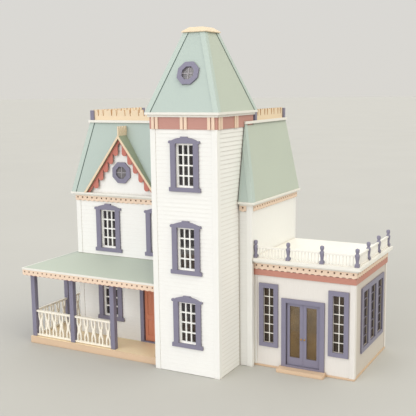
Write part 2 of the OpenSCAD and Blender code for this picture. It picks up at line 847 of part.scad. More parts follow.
// Segmental pediment with round ears and a raised middle, standing on z = 0
module window_head() {
    reach = sash_w / 2 + jamb_w;
    ear_r = 4.3;
    rise = 10;
    span = reach - 2;
    arc_r = (span * span + rise * rise) / (2 * rise);
    key_w = 23;
    area([-reach, -eps], [reach, head_h - 1]);
    for (s = [-1, 1]) translate([s * (reach + 1.7), ear_r - 0.5]) circle(r = ear_r);
    intersection() {
        translate([0, head_h - 1 + rise - arc_r]) circle(r = arc_r, $fn = 96);
        area([-span, 0], [span, 30]);
    }
    area([-key_w / 2, 0], [key_w / 2, head_h + rise + 1.5]);
}

// Outline of a whole casing, from the sill's underside up
module casing_outline() {
    area([-sill_w / 2, 0], [sill_w / 2, sill_h]);
    area([-sash_w / 2 - jamb_w, sill_h - eps], [sash_w / 2 + jamb_w, sill_h + sash_h]);
    translate([0, sill_h + sash_h]) window_head();
}

module window_casings() color(purple) at_windows() front_plate(0, casing_t) difference() {
    casing_outline();
    area([-sash_w / 2, sill_h], [sash_w / 2, sill_h + sash_h]);
}

// A twelve-light sash: three panes across and four up, with a thicker meeting rail
module sash() {
    w = (sash_w - 2 * sash_bar - 2 * muntin) / 3;
    h = (sash_h - 2 * sash_bar - 3 * muntin) / 4;
    difference() {
        area([-sash_w / 2, 0], [sash_w / 2, sash_h]);
        for (i = [0:2], j = [0:3])
            translate([-sash_w / 2 + sash_bar + i * (w + muntin), sash_bar + j * (h + muntin)])
                square([w, h]);
    }
}

module window_sashes() color(white) at_windows()
    translate([0, sash_in + sash_t, sill_h]) front_plate(0, sash_t) sash();

// Flat panes behind a sash, behind an octagon frame and behind the conservatory's muntins
module window_panes() color(glass) {
    back = sash_in + sash_t + pane_t;
    at_windows() translate([0, back, sill_h]) front_plate(0, pane_t)
        area([-sash_w / 2, 0], [sash_w / 2, sash_h]);
    translate([gable_x, main_y0 + pane_t, gable_window_z]) front_plate(0, pane_t) octagon(octagon_hole);
    on_tower_slope(tower_window_z) front_plate(pane_t, pane_t) octagon(octagon_hole);
    for (s = [-1, 1]) translate([cons_mid + s * light_offset, cons_y0 + 8, light_z])
        front_plate(0, pane_t) area([-light_w / 2, 0], [light_w / 2, light_h]);
    for (i = [0:2]) translate([0, triple_y(i), light_z])
        side_plate(cons_x1 - 4, pane_t) area([0, 0], [triple_light, light_h]);
}

// ---------------------------------------------------------------- porch

module porch_floor() color(peach) {
    block([porch_x0, porch_y0, 0], [porch_x1, main_y0, porch_z]);
    block([porch_x0, main_y0 - eps, 0], [main_x0, porch_y1, porch_z]);
}

module porch_post(x, y) {
    block([x - post_w / 2, y - post_w / 2, porch_z], [x + post_w / 2, y + post_w / 2, ceiling_z]);
}

module porch_posts() color(purple) {
    for (x = front_posts) porch_post(x, post_y);
    for (y = side_posts) porch_post(post_x, y);
}

// A railing along x from 0 to length, centred on y = 0, standing above z = 0
module railing(length) {
    rail_d = 9;
    rail_t = 6;
    low = 2;
    board_d = 4;
    foot = 8.8;
    knot = 5.4;
    slot = 4.4;
    gap = rail_h - low - 2 * rail_t;
    count = round(length / 29);
    pitch = length / count;
    block([0, -rail_d / 2, low], [length, rail_d / 2, low + rail_t]);
    block([0, -rail_d / 2, rail_h - rail_t], [length, rail_d / 2, rail_h]);
    front_plate(board_d / 2, board_d) for (i = [0:count - 1])
        translate([(i + 0.5) * pitch, low + rail_t - eps]) difference() {
            polygon([
                [-foot, 0], [foot, 0], [foot, gap * 0.26], [knot, gap * 0.42], [knot, gap * 0.58],
                [foot, gap * 0.74], [foot, gap + 2 * eps], [-foot, gap + 2 * eps],
                [-foot, gap * 0.74], [-knot, gap * 0.58], [-knot, gap * 0.42], [-foot, gap * 0.26]
            ]);
            polygon([[-slot, -1], [slot, -1], [slot, gap * 0.2], [0, gap * 0.37], [-slot, gap * 0.2]]);
            polygon([
                [-slot, gap + 1], [-slot, gap * 0.8], [0, gap * 0.63], [slot, gap * 0.8],
                [slot, gap + 1]
            ]);
        }
}

module porch_rails() color(white) {
    half = post_w / 2;
    side_x = post_x + half;
    for (i = [0, 1]) translate([front_posts[i] + half, post_y, porch_z]) railing(post_pitch - post_w);
    for (y = [post_y, side_posts[0]])
        translate([post_x, y + half, porch_z]) rotate([0, 0, 90]) railing(side_pitch - post_w);
    translate([side_x, side_posts[1], porch_z]) railing(main_x0 - siding_t - side_x);
}

module porch_roof() color(sage) {
    x0 = eave_x0 + edge_t;
    x1 = main_x0;
    y0 = eave_y0 + edge_t;
    y1 = main_y0;
    top = porch_ridge_z;
    low = porch_eave_z;
    t = roof_sheet;
    wedge([[x0, y0, low - t], [porch_x1, y0, low - t], [porch_x1, y1, top - t], [x1, y1, top - t]],
          [[x0, y0, low], [porch_x1, y0, low], [porch_x1, y1, top], [x1, y1, top]]);
    wedge([[x0, y0, low - t], [x1, y1, top - t], [x1, eave_y1, top - t], [x0, eave_y1, low - t]],
          [[x0, y0, low], [x1, y1, top], [x1, eave_y1, top], [x0, eave_y1, low]]);
}

// Boards behind the trim at the eaves, the edge strip over it, the ceiling and the end panel
module porch_fascia() color(white) {
    z1 = porch_eave_z - roof_sheet;
    x0 = eave_x0 + edge_t;
    y0 = eave_y0 + edge_t;
    difference() {
        block([eave_x0, eave_y0, porch_eave_z - edge_h], [porch_x1, eave_y1, porch_eave_z]);
        block([x0, y0, porch_eave_z - edge_h - 1], [porch_x1 + 1, eave_y1 + 1, porch_eave_z + 1]);
    }
    difference() {
        block([x0, y0, fascia_z], [porch_x1, eave_y1, z1]);
        block([x0 + fascia_t, y0 + fascia_t, fascia_z - 1], [porch_x1 + 1, eave_y1 + 1, z1 + 1]);
    }
    difference() {
        block([x0 + fascia_t - eps, y0 + fascia_t - eps, ceiling_z],
              [main_x0, eave_y1, ceiling_z + 3]);
        block([main_x0, main_y0, ceiling_z - 1], [0, main_y1, z1]);
    }
    block([main_x0 - eps, y0 + fascia_t - eps, ceiling_z], [porch_x1, main_y0, ceiling_z + 3]);
    front_plate(eave_y1, fascia_t) polygon([
        [x0, ceiling_z], [main_x0, ceiling_z], [main_x0, porch_ridge_z - roof_sheet], [x0, z1]
    ]);
}

module porch_dentil_trim() color(peach) {
    back = 1;
    t = edge_t - back;
    h = porch_eave_z - edge_h - fascia_z;
    translate([eave_x0 + back, 0, fascia_z])
        front_plate(eave_y0 + edge_t, t) dentil(porch_x1 - eave_x0 - back, h);
    translate([0, eave_y0 + edge_t - eps, fascia_z])
        side_plate(eave_x0 + back, t) dentil(eave_y1 - eave_y0 - edge_t, h);
}

// ---------------------------------------------------------------- front door

module front_door_frame() color(purple) difference() {
    half = frame_w / 2;
    union() {
        // Lining inside the wall, and casing on its face
        block([door_x - half, main_y0 - 1, porch_z], [door_x + half, main_y0 + wall_t, frame_top]);
        block([door_x - half - casing_w, main_y0 - door_casing_t, porch_z],
              [door_x + half + casing_w, main_y0, frame_top + casing_w]);
    }
    block([door_x - half + lining, main_y0 - 20, porch_z + threshold_h],
          [door_x + half - lining, main_y0 + wall_t + 1, frame_top - lining]);
    translate([door_pivot[0], door_pivot[1], door_z - door_gap - pin_in - 0.3])
        cylinder(r = bore_r, h = pin_in + 1);
    translate([door_pivot[0], door_pivot[1], frame_top - lining - 1])
        cylinder(r = bore_r, h = pin_in + 1.3);
}

// Turns a leaf about a pivot
module swing(pivot, angle) {
    translate([pivot[0], pivot[1], 0]) rotate([0, 0, angle]) translate([-pivot[0], -pivot[1], 0])
        children();
}

// A leaf from z0, w wide and h high, t thick, with its hinge edge rounded on the pivot
module leaf(pivot, z0, w, h, t, side) {
    block([side > 0 ? pivot[0] : pivot[0] + t / 2 - w, pivot[1] - t / 2, z0],
          [side > 0 ? pivot[0] - t / 2 + w : pivot[0], pivot[1] + t / 2, z0 + h]);
    translate([pivot[0], pivot[1], z0]) cylinder(r = t / 2, h = h);
}

module front_door() color(terracotta) swing(door_pivot, front_door_open) difference() {
    stile = 11;
    mid = 8;
    sunk = 2;
    w = (door_w - 2 * stile - mid) / 2;
    x0 = door_x - door_w / 2;
    leaf(door_pivot, door_z, door_w, door_h, door_t, 1);
    for (x = [x0 + stile, x0 + stile + w + mid], r = [[18, 58], [88, 78]])
        for (y = [door_y - 1, door_y + door_t - sunk])
            translate([x, y, door_z + r[0]]) cube([w, sunk + 1, r[1]]);
    for (z = [door_z, door_z + door_h]) translate([door_pivot[0], door_pivot[1], z - 6])
        cylinder(r = pin_r, h = 12);
}

// Upper and lower hinge pins of a leaf, and a knob on each face
module hardware(pivot, z0, h, t, knob_x, knob_z) {
    knob_r = 2.4;
    for (z = [z0 - pin_in, z0 + h - 6]) translate([pivot[0], pivot[1], z])
        cylinder(r = pin_r, h = 6 + pin_in);
    for (s = [-1, 1]) translate([knob_x, pivot[1] + s * t / 2, knob_z]) rotate([-90 * s, 0, 0])
        rotate_extrude() polygon([
            [0, 0], [knob_r, 0], [knob_r, 0.8], [1.1, 1.2], [1.1, 2.4], [knob_r, 3.6],
            [knob_r, 4.8], [1.5, 6], [0, 6]
        ]);
}

module front_door_hardware() color(brass) swing(door_pivot, front_door_open)
    hardware(door_pivot, door_z, door_h, door_t, door_x + door_w / 2 - 5.5, door_z + 80);

// ---------------------------------------------------------------- conservatory

function triple_y(i) = triple_y0 + light_casing + i * (triple_light + triple_post);
triple_y1 = triple_y0 + 2 * light_casing + 3 * triple_light + 2 * triple_post;

// The plinth, the floor on it between the walls, the sill under the doors and the doorstep
module conservatory_floor() color(peach) {
    half = french_frame_w / 2;
    block([cons_x0, cons_y0 - cons_floor_out, 0], [cons_x1 + cons_floor_out, cons_y1, cons_plinth]);
    block([cons_x0, cons_y0 + wall_t, 0], [cons_x1 - wall_t, cons_y1, cons_floor_z]);
    block([cons_mid - half, cons_y0 - cons_floor_out, 0],
          [cons_mid + half, cons_y0 + wall_t + 1, cons_floor_z]);
    block([cons_mid - step_w / 2, cons_y0 - cons_floor_out - step_d, 0],
          [cons_mid + step_w / 2, cons_y0 - cons_floor_out, cons_floor_z]);
}

module conservatory_front_wall() color(white) difference() {
    block([cons_x0, cons_y0, cons_plinth], [cons_x1, cons_y0 + wall_t, cons_top]);
    for (s = [-1, 1]) translate([cons_mid + s * light_offset - light_w / 2, cons_y0 - 1, light_z])
        cube([light_w, wall_t + 2, light_h]);
    block([cons_mid - french_frame_w / 2, cons_y0 - 1, cons_plinth - 1],
          [cons_mid + french_frame_w / 2, cons_y0 + wall_t + 1, french_top]);
}

module conservatory_side_wall() color(white) difference() {
    block([cons_x1 - wall_t, cons_y0 + wall_t, cons_plinth], [cons_x1, cons_y1, cons_top]);
    for (i = [0:2]) translate([cons_x1 - wall_t - 1, triple_y(i), light_z])
        cube([wall_t + 2, triple_light, light_h]);
}

module conservatory_roof() color(white) {
    half = cons_roof_h * 0.4;
    low = cons_out * 0.5;
    block([cons_x0, cons_y0 - low, cons_top], [cons_x1 + low, cons_y1, cons_top + half + eps]);
    block([cons_x0, cons_y0 - cons_out, cons_top + half], [cons_x1 + cons_out, cons_y1, cons_roof_top]);
}

module conservatory_frieze() color(rose) {
    z = cons_top - cons_dentil_h - cons_frieze_h;
    block([cons_x0, cons_y0 - cons_frieze_t, z], [cons_x1 + cons_frieze_t, cons_y0, z + cons_frieze_h]);
    block([cons_x1, cons_y0 - eps, z], [cons_x1 + cons_frieze_t, cons_y1, z + cons_frieze_h]);
}

module conservatory_dentil_trim() color(peach) {
    z = cons_top - cons_dentil_h;
    translate([cons_x0, 0, z]) front_plate(cons_y0, dentil_t) dentil(cons_w + dentil_t, cons_dentil_h);
    translate([0, cons_y0, z]) side_plate(cons_x1, dentil_t) dentil(cons_d, cons_dentil_h);
}

// Newel places along the front, then along the side
newel_x0 = cons_x0 + 8;
newel_x1 = cons_x1 + newel_in;
newel_y0 = cons_y0 - newel_in + 1;
newel_y1 = cons_y1 - newel_w / 2 - 2;
front_newels = [for (i = [0:3]) newel_x0 + i * (newel_x1 - newel_x0) / 3];
side_newels = [for (i = [1:3]) newel_y0 + i * (newel_y1 - newel_y0) / 3];

// A turned newel on a square foot, with a ball on top
module newel() {
    foot = 9;
    r = newel_w / 2;
    s = newel_h - foot;
    translate([-r, -r, 0]) cube([newel_w, newel_w, foot]);
    translate([0, 0, foot - eps]) rotate_extrude() polygon([
        [0, 0], [5.8, 0], [4.8, s * 0.06], [4.6, s * 0.15], [6, s * 0.34], [6.9, s * 0.48],
        [6.7, s * 0.56], [4.4, s * 0.66], [4.2, s * 0.7], [5.9, s * 0.76], [6.1, s * 0.88],
        [5, s * 0.96], [0, s]
    ]);
}

module conservatory_newels() color(purple) {
    for (x = front_newels) translate([x, newel_y0, cons_roof_top]) newel();
    for (y = side_newels) translate([newel_x1, y, cons_roof_top]) newel();
}

// A light balustrade along x from 0 to length, on y = 0
module balustrade(length) {
    count = 9;
    foot = 3;
    rail_t = 5;
    d = 6;
    block([0, -d / 2, 0], [length, d / 2, foot]);
    block([0, -d / 2, rail_z], [length, d / 2, rail_z + rail_t]);
    for (i = [0:count - 1]) translate([(i + 0.5) * length / count, 0, foot - eps])
        cylinder(r = spindle_r, h = rail_z - foot + 2 * eps, $fn = 24);
}

module conservatory_balustrade() color(white) {
    gap = newel_w + 1.4;
    bay = (newel_x1 - newel_x0) / 3;
    side_bay = (newel_y1 - newel_y0) / 3;
    for (i = [0:2]) translate([front_newels[i] + gap / 2, newel_y0, cons_roof_top]) balustrade(bay - gap);
    for (i = [0:2]) translate([newel_x1, newel_y0 + i * side_bay + gap / 2, cons_roof_top])
        rotate([0, 0, 90]) balustrade(side_bay - gap);
}

// Casings on the wall's face, with a thin lining in each opening
module conservatory_window_frames() color(purple) {
    c = light_casing;
    for (s = [-1, 1]) translate([cons_mid + s * light_offset, 0, light_z])
        front_plate(cons_y0, light_casing_t) difference() {
            area([-light_w / 2 - c, -c + 1], [light_w / 2 + c, light_h + c]);
            area([-light_w / 2, 0], [light_w / 2, light_h]);
        }
    side_plate(cons_x1, light_casing_t) difference() {
        area([triple_y0, light_z - c + 1], [triple_y1, light_z + light_h + c]);
        for (i = [0:2]) area([triple_y(i), light_z], [triple_y(i) + triple_light, light_z + light_h]);
    }
}

// Thin bars in front of the panes: one upright and five across
module bars(w) {
    t = 2.4;
    rows = 6;
    area([w / 2 - t / 2, 0], [w / 2 + t / 2, light_h]);
    for (j = [1:rows - 1]) area([0, j * light_h / rows - t / 2], [w, j * light_h / rows + t / 2]);
}

module conservatory_muntins() color(white) {
    for (s = [-1, 1]) translate([cons_mid + s * light_offset - light_w / 2, 0, light_z])
        front_plate(cons_y0 + 6.5, 2.5) bars(light_w);
    for (i = [0:2]) translate([0, triple_y(i), light_z]) side_plate(cons_x1 - 2.5, 2) bars(triple_light);
}

module french_door_frame() color(purple) difference() {
    half = french_frame_w / 2;
    union() {
        block([cons_mid - half, cons_y0 - 1, cons_floor_z],
              [cons_mid + half, cons_y0 + wall_t, french_top]);
        block([cons_mid - half - french_casing, cons_y0 - light_casing_t, cons_floor_z],
              [cons_mid + half + french_casing, cons_y0, french_top + french_casing_top]);
    }
    block([cons_mid - half + lining, cons_y0 - 20, cons_floor_z + french_threshold],
          [cons_mid + half - lining, cons_y0 + wall_t + 1, french_top - lining]);
    for (p = [french_left_pivot, french_right_pivot]) {
        translate([p[0], p[1], french_z - french_gap - pin_in - 0.3]) cylinder(r = bore_r, h = pin_in + 1);
        translate([p[0], p[1], french_top - lining - 1]) cylinder(r = bore_r, h = pin_in + 1.3);
    }
}

// One glazed leaf; side is 1 when it is hinged at its left
module french_leaf(pivot, side) {
    x0 = side > 0 ? pivot[0] - french_t / 2 : pivot[0] + french_t / 2 - french_w;
    difference() {
        leaf(pivot, french_z, french_w, french_leaf_h, french_t, side);
        block([x0 + french_stile, french_y - 1, french_z + french_foot],
              [x0 + french_w - french_stile, french_y + french_t + 1,
               french_z + french_leaf_h - french_top_rail]);
        for (z = [french_z, french_z + french_leaf_h]) translate([pivot[0], pivot[1], z - 6])
            cylinder(r = pin_r, h = 12);
    }
}

module french_pane(pivot, side) {
    x0 = side > 0 ? pivot[0] - french_t / 2 : pivot[0] + french_t / 2 - french_w;
    block([x0 + french_stile, french_y + french_t / 2 - pane_t / 2, french_z + french_foot],
          [x0 + french_w - french_stile, french_y + french_t / 2 + pane_t / 2,
           french_z + french_leaf_h - french_top_rail]);
}

module french_hardware(pivot, side) {
    knob_x = pivot[0] + side * (french_w - french_t / 2 - 5);
    hardware(pivot, french_z, french_leaf_h, french_t, knob_x, french_z + 84);
}

module french_door_left() color(purple) swing(french_left_pivot, french_doors_open)
    french_leaf(french_left_pivot, 1);

module french_left_pane() color(glass) swing(french_left_pivot, french_doors_open)
    french_pane(french_left_pivot, 1);

module french_left_hardware() color(brass) swing(french_left_pivot, french_doors_open)
    french_hardware(french_left_pivot, 1);

module french_door_right() color(purple) swing(french_right_pivot, -french_doors_open)
    french_leaf(french_right_pivot, -1);

module french_right_pane() color(glass) swing(french_right_pivot, -french_doors_open)
    french_pane(french_right_pivot, -1);

module french_right_hardware() color(brass) swing(french_right_pivot, -french_doors_open)
    french_hardware(french_right_pivot, -1);

// ---------------------------------------------------------------- nodes

translate(-middle) ground_floor();
translate(-middle) second_floor();
translate(-middle) attic_floor();
translate(-middle) partitions();
translate(-middle) staircase();
translate(-middle) main_front_wall();
translate(-middle) main_left_wall();
translate(-middle) main_right_wall();
translate(-middle) tower_front_wall();
translate(-middle) tower_left_wall();
translate(-middle) tower_right_wall();
translate(-middle) clapboard_siding();
translate(-middle) corner_boards();
translate(-middle) main_dentil_trim();
translate(-middle) main_cornice();
translate(-middle) mansard_front_panels();
translate(-middle) mansard_side_panels();
translate(-middle) mansard_deck();
translate(-middle) roof_cresting();
translate(-middle) cresting_posts();
translate(-middle) gable_wall();
translate(-middle) gable_roof();
translate(-middle) gable_bargeboard();
translate(-middle) gable_trim();
translate(-middle) tower_frieze();
translate(-middle) tower_brackets();
translate(-middle) tower_cornice();
translate(-middle) tower_roof();
translate(-middle) hip_trims();
translate(-middle) tower_cap();
translate(-middle) octagon_frames();
translate(-middle) window_casings();
translate(-middle) window_sashes();
translate(-middle) window_panes();
translate(-middle) front_door_frame();
translate(-middle) porch_floor();
translate(-middle) porch_posts();
translate(-middle) porch_rails();
translate(-middle) porch_roof();
translate(-middle) porch_fascia();
translate(-middle) porch_dentil_trim();
translate(-middle) conservatory_floor();
translate(-middle) conservatory_front_wall();
translate(-middle) conservatory_side_wall();
translate(-middle) conservatory_roof();
translate(-middle) conservatory_frieze();
translate(-middle) conservatory_dentil_trim();
translate(-middle) conservatory_newels();
translate(-middle) conservatory_balustrade();
translate(-middle) conservatory_window_frames();
translate(-middle) conservatory_muntins();
translate(-middle) french_door_frame();
translate(-middle) front_door();
translate(-middle) front_door_hardware();
translate(-middle) french_door_left();
translate(-middle) french_left_pane();
translate(-middle) french_left_hardware();
translate(-middle) french_door_right();
translate(-middle) french_right_pane();
translate(-middle) french_right_hardware();
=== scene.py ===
import math

import bmesh
import bpy
from mathutils import Matrix, Vector


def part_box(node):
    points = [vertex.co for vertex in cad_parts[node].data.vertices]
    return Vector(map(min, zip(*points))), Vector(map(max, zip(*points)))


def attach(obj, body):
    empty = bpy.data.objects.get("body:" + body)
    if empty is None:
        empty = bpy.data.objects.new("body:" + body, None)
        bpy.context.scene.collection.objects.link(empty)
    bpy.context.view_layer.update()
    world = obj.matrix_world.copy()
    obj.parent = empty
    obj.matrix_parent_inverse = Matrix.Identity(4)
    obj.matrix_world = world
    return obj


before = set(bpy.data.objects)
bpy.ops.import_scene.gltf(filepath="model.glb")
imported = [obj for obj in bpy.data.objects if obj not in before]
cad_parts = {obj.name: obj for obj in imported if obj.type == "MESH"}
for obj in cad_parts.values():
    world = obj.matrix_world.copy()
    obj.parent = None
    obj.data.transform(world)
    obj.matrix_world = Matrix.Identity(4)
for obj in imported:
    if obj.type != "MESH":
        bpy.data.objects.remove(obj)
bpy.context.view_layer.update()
MM = 0.001

# The house's own corner: front left of the tower, on the table
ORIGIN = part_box("tower_front_wall")[0].copy()
ORIGIN.z = 0.0


def house(x, y, z):
    """A point given in millimetres from the tower's front left corner, in the row frame."""
    return ORIGIN + Vector((x, y, z)) * MM


# The house's measures in millimetres that several pieces share
MAIN_X0, MAIN_X1, MAIN_Y0 = -389, 258, 138
CONS_X1, CONS_Y0 = 577, 159
PORCH_TRIM_X, PORCH_TRIM_Y = -529, 7
MAIN_DENTIL_Z, PORCH_DENTIL_Z, CONS_DENTIL_Z = 485, 239, 307
GABLE_X, GABLE_EYE_Z = -205, 585
TOWER_EYE_X, TOWER_EYE_Z = 112, 896
GROUND_Z, SECOND_Z = 22, 245

# ------------------------------------------------------------------ materials

GRAINS = {
    "x": (1.0, 12.0, 12.0),
    "z": (12.0, 12.0, 1.0),
    "level": (1.6, 1.6, 14.0),
}


def node_tree(name):
    """A new material, with its tree, its shader and a function that adds nodes."""
    made = bpy.data.materials.new(name)
    made.use_nodes = True
    tree = made.node_tree
    shader = tree.nodes["Principled BSDF"]

    def add(kind, inputs=None, **props):
        n = tree.nodes.new(kind)
        for key, value in props.items():
            setattr(n, key, value)
        for key, value in (inputs or {}).items():
            if isinstance(value, bpy.types.NodeSocket):
                tree.links.new(value, n.inputs[key])
            else:
                n.inputs[key].default_value = value
        return n

    return made, tree, shader, add


def linear(rgb):
    """Linear colour of an 8-bit one."""
    return tuple(
        (c / 255 / 12.92 if c / 255 <= 0.04045 else ((c / 255 + 0.055) / 1.055) ** 2.4)
        for c in rgb
    ) + (1.0,)


def scaled(rgba, k):
    return tuple(min(1.0, c * k) for c in rgba[:3]) + (1.0,)


# Sockets of a Mix node that mixes colours
MIX_A, MIX_B, MIX_OUT = 6, 7, 2


def blend(add, factor, first, second, kind="MULTIPLY"):
    """Multiplies the first colour by the second, or mixes them when kind is MIX."""
    inputs = {"Factor": factor, MIX_A: first, MIX_B: second}
    return add("ShaderNodeMix", inputs, data_type="RGBA", blend_type=kind).outputs[MIX_OUT]


def remap(add, value, low, high, to_low, to_high):
    """Maps a value from the span low to high onto the span to_low to to_high."""
    inputs = {"Value": value, "From Min": low, "From Max": high, "To Min": to_low, "To Max": to_high}
    return add("ShaderNodeMapRange", inputs).outputs["Result"]


# The height of a course of clapboard and of the siding's foot, in metres
CLAPBOARD, CLAPBOARD_FOOT = 0.0127, 0.001


def painted(
    name, rgb, grain="level", rough=0.5, shade=0.06, wear=None, dust_and_shade=0.55, lap_shade=0.0
):
    """Painted wood: grain, mottled tone, dust and painted shade in crevices, with rubbed edges or painted
    shade under the laps if asked.
    """
    made, tree, shader, add = node_tree(name)
    base = linear(rgb)
    where = add("ShaderNodeTexCoord").outputs["Object"]
    turned = add(
        "ShaderNodeMapping", {"Vector": where, "Scale": tuple(25 * s for s in GRAINS[grain])}
    ).outputs["Vector"]
    grain_noise = add(
        "ShaderNodeTexNoise",
        {"Vector": turned, "Scale": 2.2, "Detail": 5.0, "Roughness": 0.62, "Distortion": 0.35},
    ).outputs["Fac"]
    mottle = add(
        "ShaderNodeTexNoise", {"Vector": where, "Scale": 9.0, "Detail": 3.0, "Roughness": 0.55}
    ).outputs["Fac"]
    fine = add(
        "ShaderNodeTexNoise", {"Vector": where, "Scale": 420.0, "Detail": 2.0, "Roughness": 0.6}
    ).outputs["Fac"]
    tone = blend(add, mottle, scaled(base, 1 - shade), scaled(base, 1 + shade * 0.6), "MIX")
    streak = remap(add, grain_noise, 0.3, 0.75, 0.0, 0.35)
    colour = blend(add, streak, tone, (0.86, 0.84, 0.80, 1.0))
    # Dust and painted shade kept in the corners, from ambient occlusion
    crevice = add("ShaderNodeAmbientOcclusion", {"Distance": 0.012}, samples=6).outputs["AO"]
    corner_dust_and_shade = remap(add, crevice, 0.25, 0.85, dust_and_shade, 0.0)
    colour = blend(add, corner_dust_and_shade, colour, (0.62, 0.55, 0.46, 1.0))
    if lap_shade:
        # Painted shade along the top of each clapboard, where the next one overlaps it
        level = add("ShaderNodeSeparateXYZ", {"Vector": where}).outputs["Z"]
        course = add(
            "ShaderNodeMath",
            {0: level, 1: 1 / CLAPBOARD, 2: -CLAPBOARD_FOOT / CLAPBOARD},
            operation="MULTIPLY_ADD",
        ).outputs["Value"]
        part = add("ShaderNodeMath", {0: course}, operation="FRACT").outputs["Value"]
        under = remap(add, part, 0.66, 0.97, 0.0, lap_shade)
        colour = blend(add, under, colour, (0.62, 0.58, 0.52, 1.0))
    if wear:
        # Paint rubbed thin along the edges, found from the rounded normal
        rounded = add("ShaderNodeBevel", {"Radius": 0.0012}, samples=4).outputs["Normal"]
        flat = add("ShaderNodeNewGeometry").outputs["Normal"]
        along = add("ShaderNodeVectorMath", {0: rounded, 1: flat}, operation="DOT_PRODUCT")
        edge = remap(add, along.outputs["Value"], 0.72, 0.985, 1.0, 0.0)
        patchy = remap(add, fine, 0.42, 0.62, 0.0, 0.8)
        rubbed = add("ShaderNodeMath", {0: edge, 1: patchy}, operation="MULTIPLY").outputs["Value"]
        colour = blend(add, rubbed, colour, linear(wear), "MIX")
    tree.links.new(colour, shader.inputs["Base Color"])
    gloss = remap(add, mottle, 0.3, 0.7, rough - 0.07, rough + 0.09)
    tree.links.new(gloss, shader.inputs["Roughness"])
    height = add(
        "ShaderNodeMath", {0: grain_noise, 1: 0.8, 2: fine}, operation="MULTIPLY_ADD"
    ).outputs["Value"]
    relief = add("ShaderNodeBump", {"Height": height, "Strength": 0.25, "Distance": 0.0004})
    tree.links.new(relief.outputs["Normal"], shader.inputs["Normal"])
    shader.inputs["Specular IOR Level"].default_value = 0.4
    return made


def bare_wood(name, rgb, dark, grain="x", board=0.0):
    """Sanded plywood or boards, with grain along one axis; board is a plank's width in metres."""
    made, tree, shader, add = node_tree(name)
    where = add("ShaderNodeTexCoord").outputs["Object"]
    turned = add(
        "ShaderNodeMapping", {"Vector": where, "Scale": tuple(14 * s for s in GRAINS[grain])}
    ).outputs["Vector"]
    rings = add(
        "ShaderNodeTexNoise",
        {"Vector": turned, "Scale": 1.6, "Detail": 6.0, "Roughness": 0.6, "Distortion": 1.1},
    ).outputs["Fac"]
    ramp = add("ShaderNodeValToRGB", {"Fac": rings})
    ramp.color_ramp.elements[0].position = 0.32
    ramp.color_ramp.elements[0].color = linear(dark)
    ramp.color_ramp.elements[1].position = 0.66
    ramp.color_ramp.elements[1].color = linear(rgb)
    colour = ramp.outputs["Color"]
    if board:
        bricks = add(
            "ShaderNodeTexBrick",
            {
                "Vector": where,
                "Scale": 1.0,
                "Mortar Size": 0.0004,
                "Mortar Smooth": 0.1,
                "Bias": 0.0,
                "Brick Width": board * 14,
                "Row Height": board,
                "Color1": (0.92, 0.92, 0.92, 1),
                "Color2": (1.0, 0.98, 0.95, 1),
                "Mortar": (0.35, 0.27, 0.2, 1),
            },
            offset=0.37,
        ).outputs["Color"]
        colour = blend(add, 1.0, colour, bricks)
    tree.links.new(colour, shader.inputs["Base Color"])
    shader.inputs["Roughness"].default_value = 0.62
    relief = add("ShaderNodeBump", {"Height": rings, "Strength": 0.2, "Distance": 0.0004})
    tree.links.new(relief.outputs["Normal"], shader.inputs["Normal"])
    return made


def brass_metal(name):
    made, tree, shader, add = node_tree(name)
    where = add("ShaderNodeTexCoord").outputs["Object"]
    spots = add("ShaderNodeTexNoise", {"Vector": where, "Scale": 900.0, "Detail": 3.0}).outputs["Fac"]
    ramp = add("ShaderNodeValToRGB", {"Fac": spots})
    ramp.color_ramp.elements[0].color = linear((150, 112, 52))
    ramp.color_ramp.elements[1].color = linear((214, 172, 92))
    tree.links.new(ramp.outputs["Color"], shader.inputs["Base Color"])
    shader.inputs["Metallic"].default_value = 1.0
    shader.inputs["Roughness"].default_value = 0.28
    return made


def dark_glass(name, deep, pale, alpha):
    """Glass in front of a dim room, with the room's shade painted into its colour from deep to pale, and
    gloss over it.
    """
    made, tree, shader, add = node_tree(name)
    where = add("ShaderNodeTexCoord").outputs["Object"]
    room_shade = add("ShaderNodeTexNoise", {"Vector": where, "Scale": 14.0, "Detail": 2.0}).outputs["Fac"]
    ramp = add("ShaderNodeValToRGB", {"Fac": room_shade})
    ramp.color_ramp.elements[0].position = 0.35
    ramp.color_ramp.elements[0].color = linear(deep)
    ramp.color_ramp.elements[1].position = 0.7
    ramp.color_ramp.elements[1].color = linear(pale)
    tree.links.new(ramp.outputs["Color"], shader.inputs["Base Color"])
    wave = add("ShaderNodeTexNoise", {"Vector": where, "Scale": 30.0, "Detail": 1.0}).outputs["Fac"]
    relief = add("ShaderNodeBump", {"Height": wave, "Strength": 0.06, "Distance": 0.001})
    tree.links.new(relief.outputs["Normal"], shader.inputs["Normal"])
    shader.inputs["Roughness"].default_value = 0.08
    shader.inputs["Alpha"].default_value = alpha
    shader.inputs["IOR"].default_value = 1.49
    return made


def lace(name):
    """White net: a hexagon-like mesh of threads with denser flowers, open between them."""
    made, tree, shader, add = node_tree(name)
    where = add("ShaderNodeTexCoord").outputs["Object"]
    cells = add(
        "ShaderNodeTexVoronoi", {"Vector": where, "Scale": 620.0}, feature="DISTANCE_TO_EDGE"
    ).outputs["Distance"]
    flowers = add("ShaderNodeTexVoronoi", {"Vector": where, "Scale": 95.0}).outputs["Distance"]
    thread = remap(add, cells, 0.08, 0.22, 1.0, 0.6)
    dense = remap(add, flowers, 0.25, 0.4, 0.55, 0.0)
    cover = add("ShaderNodeMath", {0: thread, 1: dense}, operation="ADD", use_clamp=True)
    tree.links.new(cover.outputs["Value"], shader.inputs["Alpha"])
    shader.inputs["Base Color"].default_value = linear((246, 243, 234))
    shader.inputs["Roughness"].default_value = 0.85
    return made


WHITE = (242, 242, 241)
PURPLE = (133, 130, 152)
SAGE = (182, 196, 192)
ROSE = (196, 146, 136)
ROSE_DEEP = (198, 122, 110)
PEACH = (240, 215, 194)
PEACH_PALE = (234, 214, 186)
TERRACOTTA = (203, 130, 103)
CREAM = (250, 244, 232)

